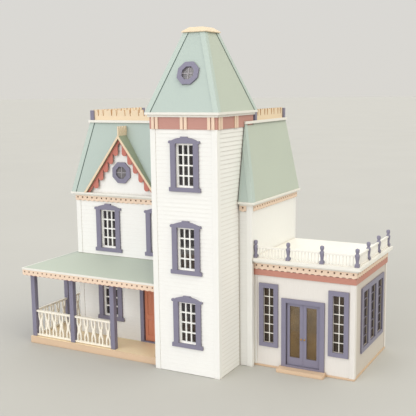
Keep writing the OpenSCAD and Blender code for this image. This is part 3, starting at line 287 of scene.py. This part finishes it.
mats = {
    "siding": painted("white_paint_boards", WHITE, "level", 0.52, 0.02, dust_and_shade=0.2),
    # The same white on side-facing boards, with more painted shade in the corners and painted shade under
    # each lap
    "siding_side_shaded": painted(
        "white_paint_side_boards_shaded", WHITE, "level", 0.52, 0.02, dust_and_shade=0.35, lap_shade=0.35
    ),
    # Dimmer copies of the white as painted shade: a little on the conservatory's front and the bay's
    # corner board, where the light falls off, more on the conservatory's side wall
    "white_dim_shaded": painted("white_paint_dim_shaded", (229, 225, 222), "z", 0.5, 0.02),
    "white_shaded": painted("white_paint_shaded", (207, 199, 191), "z", 0.5, 0.02),
    "white_level": painted("white_paint_corners", WHITE, "z", 0.52, 0.02),
    "white_plain": painted("white_paint_sheet", WHITE, "z", 0.5, 0.02),
    "white_trim": painted("white_paint_trim", (238, 236, 231), "level", 0.42, 0.02),
    # A brighter white with little corner darkening: painted light that offsets the shade of the sashes'
    # recess
    "white_sash_lit": painted("white_paint_sash_lit", (252, 252, 251), "level", 0.4, 0.01, dust_and_shade=0.1),
    "cream": painted("cream_paint", CREAM, "z", 0.48, 0.04, dust_and_shade=0.15),
    "purple": painted("purple_paint", PURPLE, "z", 0.42, 0.07, wear=(150, 146, 164)),
    # A darker purple as painted shade, for the conservatory's side muntins
    "purple_shaded": painted("purple_paint_shaded", (126, 121, 138), "z", 0.5, 0.06),
    "sage": painted("sage_paint", SAGE, "z", 0.62, 0.04),
    # The sage with painted warm light, for the side slopes and the porch roof
    "sage_warm_lit": painted("sage_paint_warm_lit", (189, 198, 187), "z", 0.62, 0.04),
    "sage_trim": painted("sage_paint_trim", (187, 201, 196), "z", 0.55, 0.04),
    "sage_deep": painted("sage_paint_deep", (154, 163, 142), "z", 0.6, 0.05, dust_and_shade=0.3),
    "hole_shade": painted("hole_shade", (116, 84, 68), "level", 0.7, 0.08),
    "bar_grey": painted("bar_grey", (176, 172, 180), "z", 0.5, 0.06),
    # Bare wood on the cresting's sawn sides, darker as painted shade in its notches
    "sawn_edge_shaded": painted("sawn_edge_wood_shaded", (206, 162, 118), "z", 0.7, 0.08),
    # Dark strips of painted shadow beside the hip trims
    "groove_shadow": painted("groove_shade", (84, 104, 104), "z", 0.7, 0.06),
    "rose": painted("rose_paint", ROSE, "level", 0.5, 0.06),
    "rose_mid": painted("rose_paint_mid", (195, 137, 122), "level", 0.5, 0.06),
    "rose_deep": painted("rose_paint_deep", ROSE_DEEP, "level", 0.5, 0.06),
    "peach": painted("peach_paint", PEACH, "level", 0.5, 0.05),
    "peach_pale": painted("peach_paint_pale", PEACH_PALE, "level", 0.5, 0.05, dust_and_shade=0.15),
    "porch_boards": painted("porch_paint", (222, 194, 166), "x", 0.5, 0.06, wear=(186, 150, 112)),
    # A paler paint as painted light on the porch floor's top
    "porch_tops_lit": painted("porch_paint_top_lit", (255, 230, 192), "x", 0.42, 0.08, dust_and_shade=0.2),
    "terracotta": painted("terracotta_paint", TERRACOTTA, "z", 0.42, 0.07),
    "floorboards": bare_wood("floor_boards", (226, 194, 150), (190, 150, 106), "x", 0.018),
    "plywood": bare_wood("plywood", (222, 190, 142), (186, 146, 96), "x"),
    "brass": brass_metal("brass_metal"),
    # Glass with the shade of the dim rooms behind it painted into its colour
    "door_glass": dark_glass("door_glass", (92, 70, 36), (130, 104, 62), 0.66),
    "shade_glass": dark_glass("conservatory_glass", (34, 27, 20), (76, 60, 44), 0.84),
    "dark_glass": dark_glass("room_glass", (30, 28, 34), (64, 60, 68), 0.62),
    "grey_glass": dark_glass("octagon_glass", (92, 90, 98), (150, 146, 148), 0.8),
    "lace": lace("lace_net"),
}

NODE_MATERIALS = {
    "siding": """clapboard_siding""",
    "white_level": """corner_boards""",
    "white_plain": """main_front_wall main_left_wall main_right_wall tower_front_wall tower_left_wall
        tower_right_wall gable_wall partitions""",
    "white_dim_shaded": """conservatory_front_wall""",
    "white_shaded": """conservatory_side_wall""",
    "white_trim": """main_cornice mansard_deck tower_cornice porch_fascia
        conservatory_roof conservatory_balustrade conservatory_muntins""",
    "white_sash_lit": """window_sashes""",
    "cream": """porch_rails""",
    "purple": """cresting_posts octagon_frames window_casings front_door_frame porch_posts
        conservatory_newels conservatory_window_frames french_door_frame french_door_left
        french_door_right""",
    "sage": """mansard_front_panels tower_roof""",
    "sage_warm_lit": """mansard_side_panels porch_roof""",
    "sage_trim": """hip_trims""",
    "sage_deep": """gable_roof""",
    "rose": """tower_frieze""",
    "rose_mid": """conservatory_frieze""",
    "rose_deep": """gable_bargeboard""",
    "peach": """main_dentil_trim porch_dentil_trim conservatory_dentil_trim tower_brackets""",
    "peach_pale": """roof_cresting gable_trim tower_cap""",
    "porch_boards": """porch_floor conservatory_floor""",
    "terracotta": """front_door""",
    "floorboards": """ground_floor second_floor attic_floor""",
    "plywood": """staircase""",
    "brass": """front_door_hardware french_left_hardware french_right_hardware""",
    "door_glass": """french_left_pane french_right_pane""",
    "shade_glass": """window_panes""",
}
for key, names in NODE_MATERIALS.items():
    for name in names.split():
        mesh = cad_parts[name].data
        mesh.materials.clear()
        mesh.materials.append(mats[key])

# The conservatory's panes, the sash windows' panes and the two small octagons differ in the shade painted
# into them
CONSERVATORY_X = house(MAIN_X1, 0, 0).x
OCTAGON_REACH = 0.03
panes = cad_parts["window_panes"].data
panes.materials.append(mats["dark_glass"])
panes.materials.append(mats["grey_glass"])
TOWER_EYE_Y = 30
OCTAGONS = (
    house(GABLE_X, MAIN_Y0, GABLE_EYE_Z),
    house(TOWER_EYE_X, TOWER_EYE_Y, TOWER_EYE_Z),
)
for face in panes.polygons:
    near = min((face.center - middle).length for middle in OCTAGONS)
    octagon = near < OCTAGON_REACH
    face.material_index = 0 if face.center.x > CONSERVATORY_X else (2 if octagon else 1)

# A face looks along an axis when its normal's part on it is above this
FACING, FACING_UP = 0.7, 0.9
# The bay's corner board and the conservatory's side muntins lie right of these
BAY_BOARD_X, SIDE_MUNTINS_X = house(262, 0, 0).x, house(560, 0, 0).x
# Faces of the cresting in front of this belong to its front run
FRONT_CREST_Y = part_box("roof_cresting")[0].y + 5 * MM
FASCIA_TRIM_TOP, NEARLY = 257, 0.3


def tint(node, key, chosen):
    """Gives a second material to the faces of a node that chosen picks."""
    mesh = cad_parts[node].data
    mesh.materials.append(mats[key])
    for face in mesh.polygons:
        face.material_index = 1 if chosen(face) else 0


def looks_sideways(face):
    return abs(face.normal.x) > FACING


def saw_cut(face):
    along = face.normal.x if face.center.y < FRONT_CREST_Y else face.normal.y
    return abs(along) > FACING


def behind_porch_trim(face):
    at = (face.center - ORIGIN) / MM
    on_face = abs(at.y - PORCH_TRIM_Y) < NEARLY or abs(at.x - PORCH_TRIM_X) < NEARLY
    return on_face and at.z < FASCIA_TRIM_TOP


# The porch floor's top has painted light, and its fascia is rose behind the trim. The tower roof's side
# slopes get the sage with painted warm light, the side walls' laps get painted shade, and the bay's corner
# board and the side muntins get painted shade. The cresting shows bare wood where it is sawn, darker as
# painted shade.
tint("porch_floor", "porch_tops_lit", lambda face: face.normal.z > FACING_UP)
tint("tower_roof", "sage_warm_lit", looks_sideways)
tint("clapboard_siding", "siding_side_shaded", looks_sideways)
tint("corner_boards", "white_dim_shaded", lambda face: face.center.x > BAY_BOARD_X)
tint("roof_cresting", "sawn_edge_shaded", saw_cut)
tint("conservatory_muntins", "purple_shaded", lambda face: face.center.x > SIDE_MUNTINS_X)
tint("porch_fascia", "rose", behind_porch_trim)

# ------------------------------------------------------------------ pieces


def piece(name, verts, faces, mat, body="house", smooth=False):
    """A mesh piece from points in house millimetres."""
    mesh = bpy.data.meshes.new(name)
    mesh.from_pydata([house(*v) for v in verts], [], faces)
    mesh.materials.append(mats[mat])
    for face in mesh.polygons:
        face.use_smooth = smooth
    b = bmesh.new()
    b.from_mesh(mesh)
    bmesh.ops.recalc_face_normals(b, faces=b.faces)
    b.to_mesh(mesh)
    b.free()
    obj = bpy.data.objects.new(name, mesh)
    bpy.context.scene.collection.objects.link(obj)
    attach(obj, body)
    return obj


def add_prism(verts, faces, ring_low, ring_high):
    """Adds a closed solid between two rings with the same number of points."""
    n, start = len(ring_low), len(verts)
    verts += list(ring_low) + list(ring_high)
    faces.append(tuple(start + i for i in reversed(range(n))))
    faces.append(tuple(start + n + i for i in range(n)))
    for i in range(n):
        j = (i + 1) % n
        faces.append((start + i, start + j, start + n + j, start + n + i))


def lerp(a, b, t):
    return tuple(p + (q - p) * t for p, q in zip(a, b))


def add_box(verts, faces, lo, hi):
    x0, y0, z0 = lo
    x1, y1, z1 = hi
    add_prism(
        verts,
        faces,
        [(x0, y0, z0), (x1, y0, z0), (x1, y1, z0), (x0, y1, z0)],
        [(x0, y0, z1), (x1, y0, z1), (x1, y1, z1), (x0, y1, z1)],
    )


def add_turned(verts, faces, centre, profile, sides=10):
    """Adds a turned post: profile is (radius, height) from the foot up."""
    start = len(verts)
    cx, cy, cz = centre
    for r, h in profile:
        for k in range(sides):
            a = 2 * math.pi * k / sides
            verts.append((cx + r * math.cos(a), cy + r * math.sin(a), cz + h))
    for i in range(len(profile) - 1):
        for k in range(sides):
            m = (k + 1) % sides
            a, b = start + i * sides, start + (i + 1) * sides
            faces.append((a + k, a + m, b + m, b + k))
    faces.append(tuple(start + k for k in reversed(range(sides))))
    last = start + (len(profile) - 1) * sides
    faces.append(tuple(last + k for k in range(sides)))


# Dark strips of painted shadow between the roof panels and their hip trims, where the trim's edge casts
# shade:
# the trim's leg, the strip's width, and how far the strip stands out of the roof and into it
LEG, SHADOW_STRIP, PROUD = 15.0, 2.2, 0.5
# Corners of the tower roof at its foot and at its top, from the front left round to the right
TOWER_LOW = [(-12, -12, 786), (228, -12, 786), (228, 246, 786), (-12, 246, 786)]
TOWER_HIGH = [(74, 74, 1016), (142, 74, 1016), (142, 160, 1016), (74, 160, 1016)]


def add_hip_shadow(verts, faces, low, high, along, out, stop):
    """A strip of painted shadow beside a hip, from low to the share stop of the way to high.

    along points from the hip over the roof, out away from the roof.
    """
    start, end = low, lerp(low, high, stop)

    def ring(p):
        inner = tuple(a + LEG * d for a, d in zip(p, along))
        outer = tuple(a + (LEG + SHADOW_STRIP) * d for a, d in zip(p, along))
        lifted = [tuple(a + PROUD * d for a, d in zip(q, out)) for q in (outer, inner)]
        sunk = [tuple(a - PROUD * d for a, d in zip(q, out)) for q in (inner, outer)]
        return sunk + lifted

    add_prism(verts, faces, ring(start), ring(end))


# The mansard's front left hip, and how far up its hip each strip of painted shadow reaches
MANSARD_LOW, MANSARD_HIGH = (-401, 126, 515.3), (-351, 176, 745)
TOWER_STOP, MANSARD_STOP = 0.985, 0.995
# For each side of the tower roof: the way out of it, and the way along it
OUTS = [(0, -1, 0), (1, 0, 0), (0, 1, 0), (-1, 0, 0)]
RUNS = [(1, 0, 0), (0, 1, 0), (-1, 0, 0), (0, -1, 0)]
# The front right hip faces the light and gets no painted shadow
FRONT_RIGHT = 1

v, f = [], []
for i in range(4):
    j = (i + 1) % 4
    back = tuple(-d for d in RUNS[i])
    if i != FRONT_RIGHT:
        add_hip_shadow(v, f, TOWER_LOW[i], TOWER_HIGH[i], RUNS[i], OUTS[i], TOWER_STOP)
    if j != FRONT_RIGHT:
        add_hip_shadow(v, f, TOWER_LOW[j], TOWER_HIGH[j], back, OUTS[i], TOWER_STOP)
add_hip_shadow(v, f, MANSARD_LOW, MANSARD_HIGH, (1, 0, 0), (0, -1, 0), MANSARD_STOP)
add_hip_shadow(v, f, MANSARD_LOW, MANSARD_HIGH, (0, 1, 0), (-1, 0, 0), MANSARD_STOP)
piece("hip_groove_shadows", v, f, "groove_shadow")

# Dark sheets of painted shade seen through the holes of the dentil trim
DENTIL_PITCH, HOLE, SHADE_SHEET_T = 19.0, 5.0, 0.4
# Each run is (start, length, height)
FRONT_RUNS = [
    ((-394, MAIN_Y0, MAIN_DENTIL_Z), 389, 18),
    ((221, MAIN_Y0, MAIN_DENTIL_Z), 23, 18),
    ((-531, PORCH_TRIM_Y, PORCH_DENTIL_Z), 526, 19),
    ((MAIN_X1, CONS_Y0, CONS_DENTIL_Z), 324, 20),
]
# Each run is (start, length, height, way out along x)
SIDE_RUNS = [
    ((MAIN_X0, MAIN_Y0, MAIN_DENTIL_Z), 360, 18, -1),
    ((MAIN_X1, 146, MAIN_DENTIL_Z), 352, 18, 1),
    ((PORCH_TRIM_X, PORCH_TRIM_Y, PORCH_DENTIL_Z), 393, 19, -1),
    ((CONS_X1, CONS_Y0, CONS_DENTIL_Z), 330, 20, 1),
]


def hole_starts(start, length):
    """Where the holes of a run start along it."""
    count = round(length / DENTIL_PITCH)
    return [start + (i + 0.5) * length / count - HOLE / 2 for i in range(count)]


v, f = [], []
for (x, y, z), length, high in FRONT_RUNS:
    low = z + high / 2
    for at in hole_starts(x, length):
        add_box(v, f, (at, y - SHADE_SHEET_T, low), (at + HOLE, y, low + HOLE))
for (x, y, z), length, high, out in SIDE_RUNS:
    low = z + high / 2
    x0, x1 = sorted((x, x + SHADE_SHEET_T * out))
    for at in hole_starts(y, length):
        add_box(v, f, (x0, at, low), (x1, at + HOLE, low + HOLE))
piece("dentil_hole_shade_sheets", v, f, "hole_shade")

# Light bars across the octagon windows: half a bar's width and length, and its front and back
BAR_HALF, BAR_REACH = 1.1, 19.5
BAR_FRONT, BAR_BACK = -1.6, -0.1
LEAN = math.atan((TOWER_HIGH[0][0] - TOWER_LOW[0][0]) / (TOWER_HIGH[0][2] - TOWER_LOW[0][2]))
SLOPE_Y = TOWER_LOW[0][1] + (TOWER_EYE_Z - TOWER_LOW[0][2]) * math.tan(LEAN)


def octagon_bars(verts, faces, place):
    """Adds crossed bars in an octagon's own plane, x across, z up."""
    for across, tall in ((BAR_HALF, BAR_REACH), (BAR_REACH, BAR_HALF)):
        low = [
            (-across, BAR_FRONT, -tall),
            (across, BAR_FRONT, -tall),
            (across, BAR_BACK, -tall),
            (-across, BAR_BACK, -tall),
        ]
        high = [(x, y, tall) for x, y, _ in low]
        add_prism(verts, faces, [place(p) for p in low], [place(p) for p in high])


v, f = [], []
octagon_bars(v, f, lambda p: (GABLE_X + p[0], MAIN_Y0 + p[1], GABLE_EYE_Z + p[2]))
octagon_bars(
    v,
    f,
    lambda p: (
        TOWER_EYE_X + p[0],
        SLOPE_Y + p[1] * math.cos(LEAN) + p[2] * math.sin(LEAN),
        TOWER_EYE_Z - p[1] * math.sin(LEAN) + p[2] * math.cos(LEAN),
    ),
)
piece("octagon_window_bars", v, f, "bar_grey")

# Raised panels on both faces of the front door
PANEL_LEFTS, PANEL_W = (-121.5, -92.0), 21.5
# Each row is (foot, height), and each side of the leaf (sunk field's y, face's y, way into the leaf)
PANEL_ROWS = ((45.6, 58.0), (115.6, 78.0))
PANEL_SIDES = ((141.0, 139.3, 1), (144.0, 145.7, -1))
# Insets of the moulding's four rings: its edge, its crown, the sunk field and the raised field
EDGE_IN, CROWN_IN, SUNK_IN, RAISED_IN = 0.0, 1.2, 2.2, 6.0
CROWN_DIP, RAISED_DIP, SUNK_BACK = 0.2, 0.1, 0.3


def rectangle(x0, x1, y, z0, z1):
    return [(x0, y, z0), (x1, y, z0), (x1, y, z1), (x0, y, z1)]


def add_panel(verts, faces, x0, z0, high, sunk, face, deep):
    """Adds a closed raised panel; deep is 1 or -1, the way into the leaf along y."""
    steps = (
        (EDGE_IN, sunk + SUNK_BACK * deep),
        (EDGE_IN, face),
        (CROWN_IN, face + CROWN_DIP * deep),
        (SUNK_IN, sunk),
        (RAISED_IN, face + RAISED_DIP * deep),
    )
    start = len(verts)
    for inset, y in steps:
        verts += rectangle(x0 + inset, x0 + PANEL_W - inset, y, z0 + inset, z0 + high - inset)
    for k in range(len(steps) - 1):
        a, b = start + 4 * k, start + 4 * k + 4
        for m in range(4):
            n = (m + 1) % 4
            faces.append((a + m, a + n, b + n, b + m))
    last = start + 4 * (len(steps) - 1)
    faces.append((last, last + 1, last + 2, last + 3))
    faces.append((start + 3, start + 2, start + 1, start))


v, f = [], []
for panel_x in PANEL_LEFTS:
    for foot, high in PANEL_ROWS:
        for sunk, face, deep in PANEL_SIDES:
            add_panel(v, f, panel_x, foot, high, sunk, face, deep)
piece("front_door_panels", v, f, "terracotta", "front_door")

# Lace valances on brass rods behind the sash windows; each window is
# (x, y, height of its sill's underside, turn)
SASHES = [(112.5, 0, z, 0) for z in (82, 308, 555.5)]
SASHES += [(-263.5, MAIN_Y0, 82, 0), (-263.5, MAIN_Y0, 318, 0), (-67, MAIN_Y0, 318, 0)]
SASHES += [(MAIN_X0, 300, z, -90) for z in (82, 318)]
ROD_DEPTH, ROD_R, VALANCE_W, VALANCE_H = 13.0, 1.0, 64.0, 62.0
SILL, OPENING_H, ROD_ABOVE = 12, 129, 1.5
ROD_Z = SILL + OPENING_H + ROD_ABOVE
ROD_PROFILE = [(0.2, -37), (1.6, -36.4), (2.0, -35), (1.4, -33.8), (ROD_R, -33.2), (ROD_R, 33.2)]
ROD_PROFILE += [(1.4, 33.8), (2.0, 35), (1.6, 36.4), (0.2, 37)]
COLUMNS, ROWS = 96, 16
# The net hangs this far behind the rod's middle, in folds that deepen and sway towards its foot
NET_BEHIND, FOLDS, FOLD_TOP, FOLD_GROWTH, SWAY, SWAY_RATE = 2.9, 11, 1.3, 0.9, 0.5, 7
# Scallops along its foot, and how much they take off the height on average
SCALLOPS, SCALLOP_H, SCALLOP_CUT = 4, 5.0, 1.8


def window_place(window):
    """Maps a point in a window's own frame, y inward, to house millimetres."""
    wx, wy, wz, turn = window
    if turn:
        return lambda p: (wx + p[1], wy - p[0], wz + p[2])
    return lambda p: (wx + p[0], wy + p[1], wz + p[2])


for i, window in enumerate(SASHES, 1):
    place = window_place(window)
    v, f = [], []
    add_turned(v, f, (0, 0, 0), ROD_PROFILE)
    turned = [place((h, ROD_DEPTH + y, ROD_Z + x)) for x, y, h in v]
    rod = piece(f"curtain_rod_{i}", turned, f, "brass", smooth=True)
    v, f = [], []
    for c in range(COLUMNS + 1):
        u = c / COLUMNS
        x = (u - 0.5) * VALANCE_W
        scallop = SCALLOP_H * abs(math.sin(math.pi * u * SCALLOPS))
        for r in range(ROWS + 1):
            t = r / ROWS
            wave = math.sin(2 * math.pi * u * FOLDS + SWAY * math.sin(SWAY_RATE * t + i))
            fold = (FOLD_TOP + FOLD_GROWTH * t) * wave
            drop = t * (VALANCE_H - SCALLOP_H + scallop)
            v.append(place((x, ROD_DEPTH + NET_BEHIND + fold, ROD_Z - drop)))
    for c in range(COLUMNS):
        for r in range(ROWS):
            a = c * (ROWS + 1) + r
            f.append((a, a + 1, a + ROWS + 2, a + ROWS + 1))
    net = piece(f"lace_valance_{i}", v, f, "lace", smooth=True)

# Stair rail and the guard round the stairwell; the profiles are (radius, height)
BALUSTER = [(1.9, 0), (1.9, 6), (1.2, 8), (1.7, 14), (2.1, 20), (1.3, 30), (1.1, 44), (1.6, 50), (1.6, 56)]
NEWEL = [(4, 0), (4, 12), (2.6, 15), (3.6, 24), (3.9, 34), (2.6, 50), (3.6, 58), (4, 60), (4, 70)]
NEWEL += [(2.2, 72), (3.6, 75), (3.8, 78), (2.6, 81), (0.4, 82)]
NEWEL_SIDES = 14
RAIL_SECTION = [(-2.6, -1), (2.6, -1), (3.0, 1.2), (1.8, 3.2), (-1.8, 3.2), (-3.0, 1.2)]
# The stair has 13 rises, and a step fewer
RISES, TREAD, STAIR_Y = 13, 21.0, 168
RISE = (SECOND_Z - GROUND_Z) / RISES
RAIL_X, RAIL_H, STAIR_NEWEL_Y = -147.0, 56.0, 162
# How far the sloping rail runs past its first and last balusters
RAIL_BEFORE, RAIL_AFTER = 12, 6
GUARD_X0, GUARD_X1, GUARD_Y0, GUARD_Y1 = -210, -140.5, 186, 424
# The guard's balusters: (first, pitch, number) along the well and across its end
GUARD_LONG, GUARD_SHORT = (196, 20, 12), (-156, 16, 4)

v, f = [], []
for i in range(RISES - 1):
    add_turned(v, f, (RAIL_X, STAIR_Y + (i + 0.5) * TREAD, GROUND_Z + (i + 1) * RISE), BALUSTER)
foot_y, foot_z = STAIR_Y + 0.5 * TREAD, GROUND_Z + RISE + RAIL_H
head_y = STAIR_Y + (RISES - 1.5) * TREAD
head_z = GROUND_Z + (RISES - 1) * RISE + RAIL_H
add_prism(
    v,
    f,
    [
        (RAIL_X + dx, foot_y - RAIL_BEFORE, foot_z - RAIL_BEFORE * RISE / TREAD + dz)
        for dx, dz in RAIL_SECTION
    ],
    [
        (RAIL_X + dx, head_y + RAIL_AFTER, head_z + RAIL_AFTER * RISE / TREAD + dz)
        for dx, dz in RAIL_SECTION
    ],
)
add_turned(v, f, (RAIL_X, STAIR_NEWEL_Y, GROUND_Z), NEWEL, NEWEL_SIDES)
first, pitch, number = GUARD_LONG
for k in range(number):
    add_turned(v, f, (GUARD_X1, first + k * pitch, SECOND_Z), BALUSTER)
add_turned(v, f, (GUARD_X1, GUARD_Y0, SECOND_Z), NEWEL, NEWEL_SIDES)
guard_z = SECOND_Z + RAIL_H
add_prism(
    v,
    f,
    [(GUARD_X1 + dx, GUARD_Y0, guard_z + dz) for dx, dz in RAIL_SECTION],
    [(GUARD_X1 + dx, GUARD_Y1, guard_z + dz) for dx, dz in RAIL_SECTION],
)
first, pitch, number = GUARD_SHORT
for k in range(number):
    add_turned(v, f, (first - k * pitch, GUARD_Y0, SECOND_Z), BALUSTER)
add_prism(
    v,
    f,
    [(GUARD_X0, GUARD_Y0 - dx, guard_z + dz) for dx, dz in RAIL_SECTION],
    [(GUARD_X1, GUARD_Y0 - dx, guard_z + dz) for dx, dz in RAIL_SECTION],
)
piece("stair_rails", v, f, "white_trim", smooth=True)

# ------------------------------------------------------------------ floor, lights and camera


def soft_sun(name, toward, strength, spread, colour=(1, 1, 1)):
    """A wide distant light that comes from a direction; spread is its angle in degrees."""
    data = bpy.data.lights.new(name, "SUN")
    data.energy = strength
    data.angle = math.radians(spread)
    data.color = colour
    lamp = bpy.data.objects.new(name, data)
    bpy.context.scene.collection.objects.link(lamp)
    lamp.location = toward
    lamp.rotation_euler = Vector(toward).to_track_quat("Z", "Y").to_euler()


# Half the width of the table's sheet and how far below the house's base it lies, in metres
FLOOR_HALF, FLOOR_DROP = 60.0, 0.0005


def floor_sheet():
    """A wide pale sheet under the house."""
    mesh = bpy.data.meshes.new("table_top")
    b = bmesh.new()
    bmesh.ops.create_grid(b, x_segments=2, y_segments=2, size=FLOOR_HALF)
    b.to_mesh(mesh)
    b.free()
    made, tree, shader, add = node_tree("table_paper")
    where = add("ShaderNodeTexCoord").outputs["Object"]
    soft = add("ShaderNodeTexNoise", {"Vector": where, "Scale": 1.3, "Detail": 3.0}).outputs["Fac"]
    ramp = add("ShaderNodeValToRGB", {"Fac": soft})
    ramp.color_ramp.elements[0].color = linear((184, 183, 180))
    ramp.color_ramp.elements[1].color = linear((191, 190, 187))
    tree.links.new(ramp.outputs["Color"], shader.inputs["Base Color"])
    shader.inputs["Roughness"].default_value = 0.85
    mesh.materials.append(made)
    top = bpy.data.objects.new("table_top", mesh)
    bpy.context.scene.collection.objects.link(top)
    top.location.z = -FLOOR_DROP


floor_sheet()
soft_sun("key", (-0.9, -2.2, 1.15), 0.74, 38, (0.97, 0.985, 1.0))
soft_sun("low", (-0.3, -2.5, 0.35), 0.6, 30, (1.0, 0.97, 0.93))
soft_sun("fill", (2.2, -0.4, 2.9), 1.5, 60, (1.0, 0.95, 0.74))
soft_sun("back", (-0.8, 2.4, 1.5), 0.5, 60, (1.0, 0.98, 0.95))

# A pale room: the horizon has the floor's own tone, and it brightens overhead
world = bpy.data.worlds.new("studio")
bpy.context.scene.world = world
world.use_nodes = True
sky = world.node_tree
where = sky.nodes.new("ShaderNodeTexCoord").outputs["Generated"]
height = sky.nodes.new("ShaderNodeSeparateXYZ")
sky.links.new(where, height.inputs[0])
shades = sky.nodes.new("ShaderNodeValToRGB")
shades.color_ramp.elements[0].position = 0.0
shades.color_ramp.elements[0].color = (0.70, 0.683, 0.645, 1)
shades.color_ramp.elements[1].position = 0.6
shades.color_ramp.elements[1].color = (0.71, 0.715, 0.725, 1)
sky.links.new(height.outputs["Z"], shades.inputs["Fac"])
sky.links.new(shades.outputs["Color"], sky.nodes["Background"].inputs[0])
sky.nodes["Background"].inputs[1].default_value = 1.0
bpy.context.scene.view_settings.view_transform = "Standard"

# The camera's place in house millimetres, its angles and its lens
CAMERA_AT, LENS = (1222.3, -1931.6, 852.8), 66.6
YAW, PITCH, ROLL = (math.radians(a) for a in (28.2233, 8.8332, -0.769))
forward = Vector(
    (-math.sin(YAW) * math.cos(PITCH), math.cos(YAW) * math.cos(PITCH), -math.sin(PITCH))
)
right = Vector((math.cos(YAW), math.sin(YAW), 0))
up = right.cross(forward)
side = math.cos(ROLL) * right + math.sin(ROLL) * up
top = -math.sin(ROLL) * right + math.cos(ROLL) * up
camera_data = bpy.data.cameras.new("camera")
camera_data.sensor_width = 36.0
camera_data.lens = LENS
camera_data.clip_start = 0.05
camera = bpy.data.objects.new("camera", camera_data)
bpy.context.scene.collection.objects.link(camera)
camera.matrix_world = Matrix.Translation(house(*CAMERA_AT)) @ Matrix(
    (
        (side.x, top.x, -forward.x, 0),
        (side.y, top.y, -forward.y, 0),
        (side.z, top.z, -forward.z, 0),
        (0, 0, 0, 1),
    )
)
bpy.context.scene.camera = camera
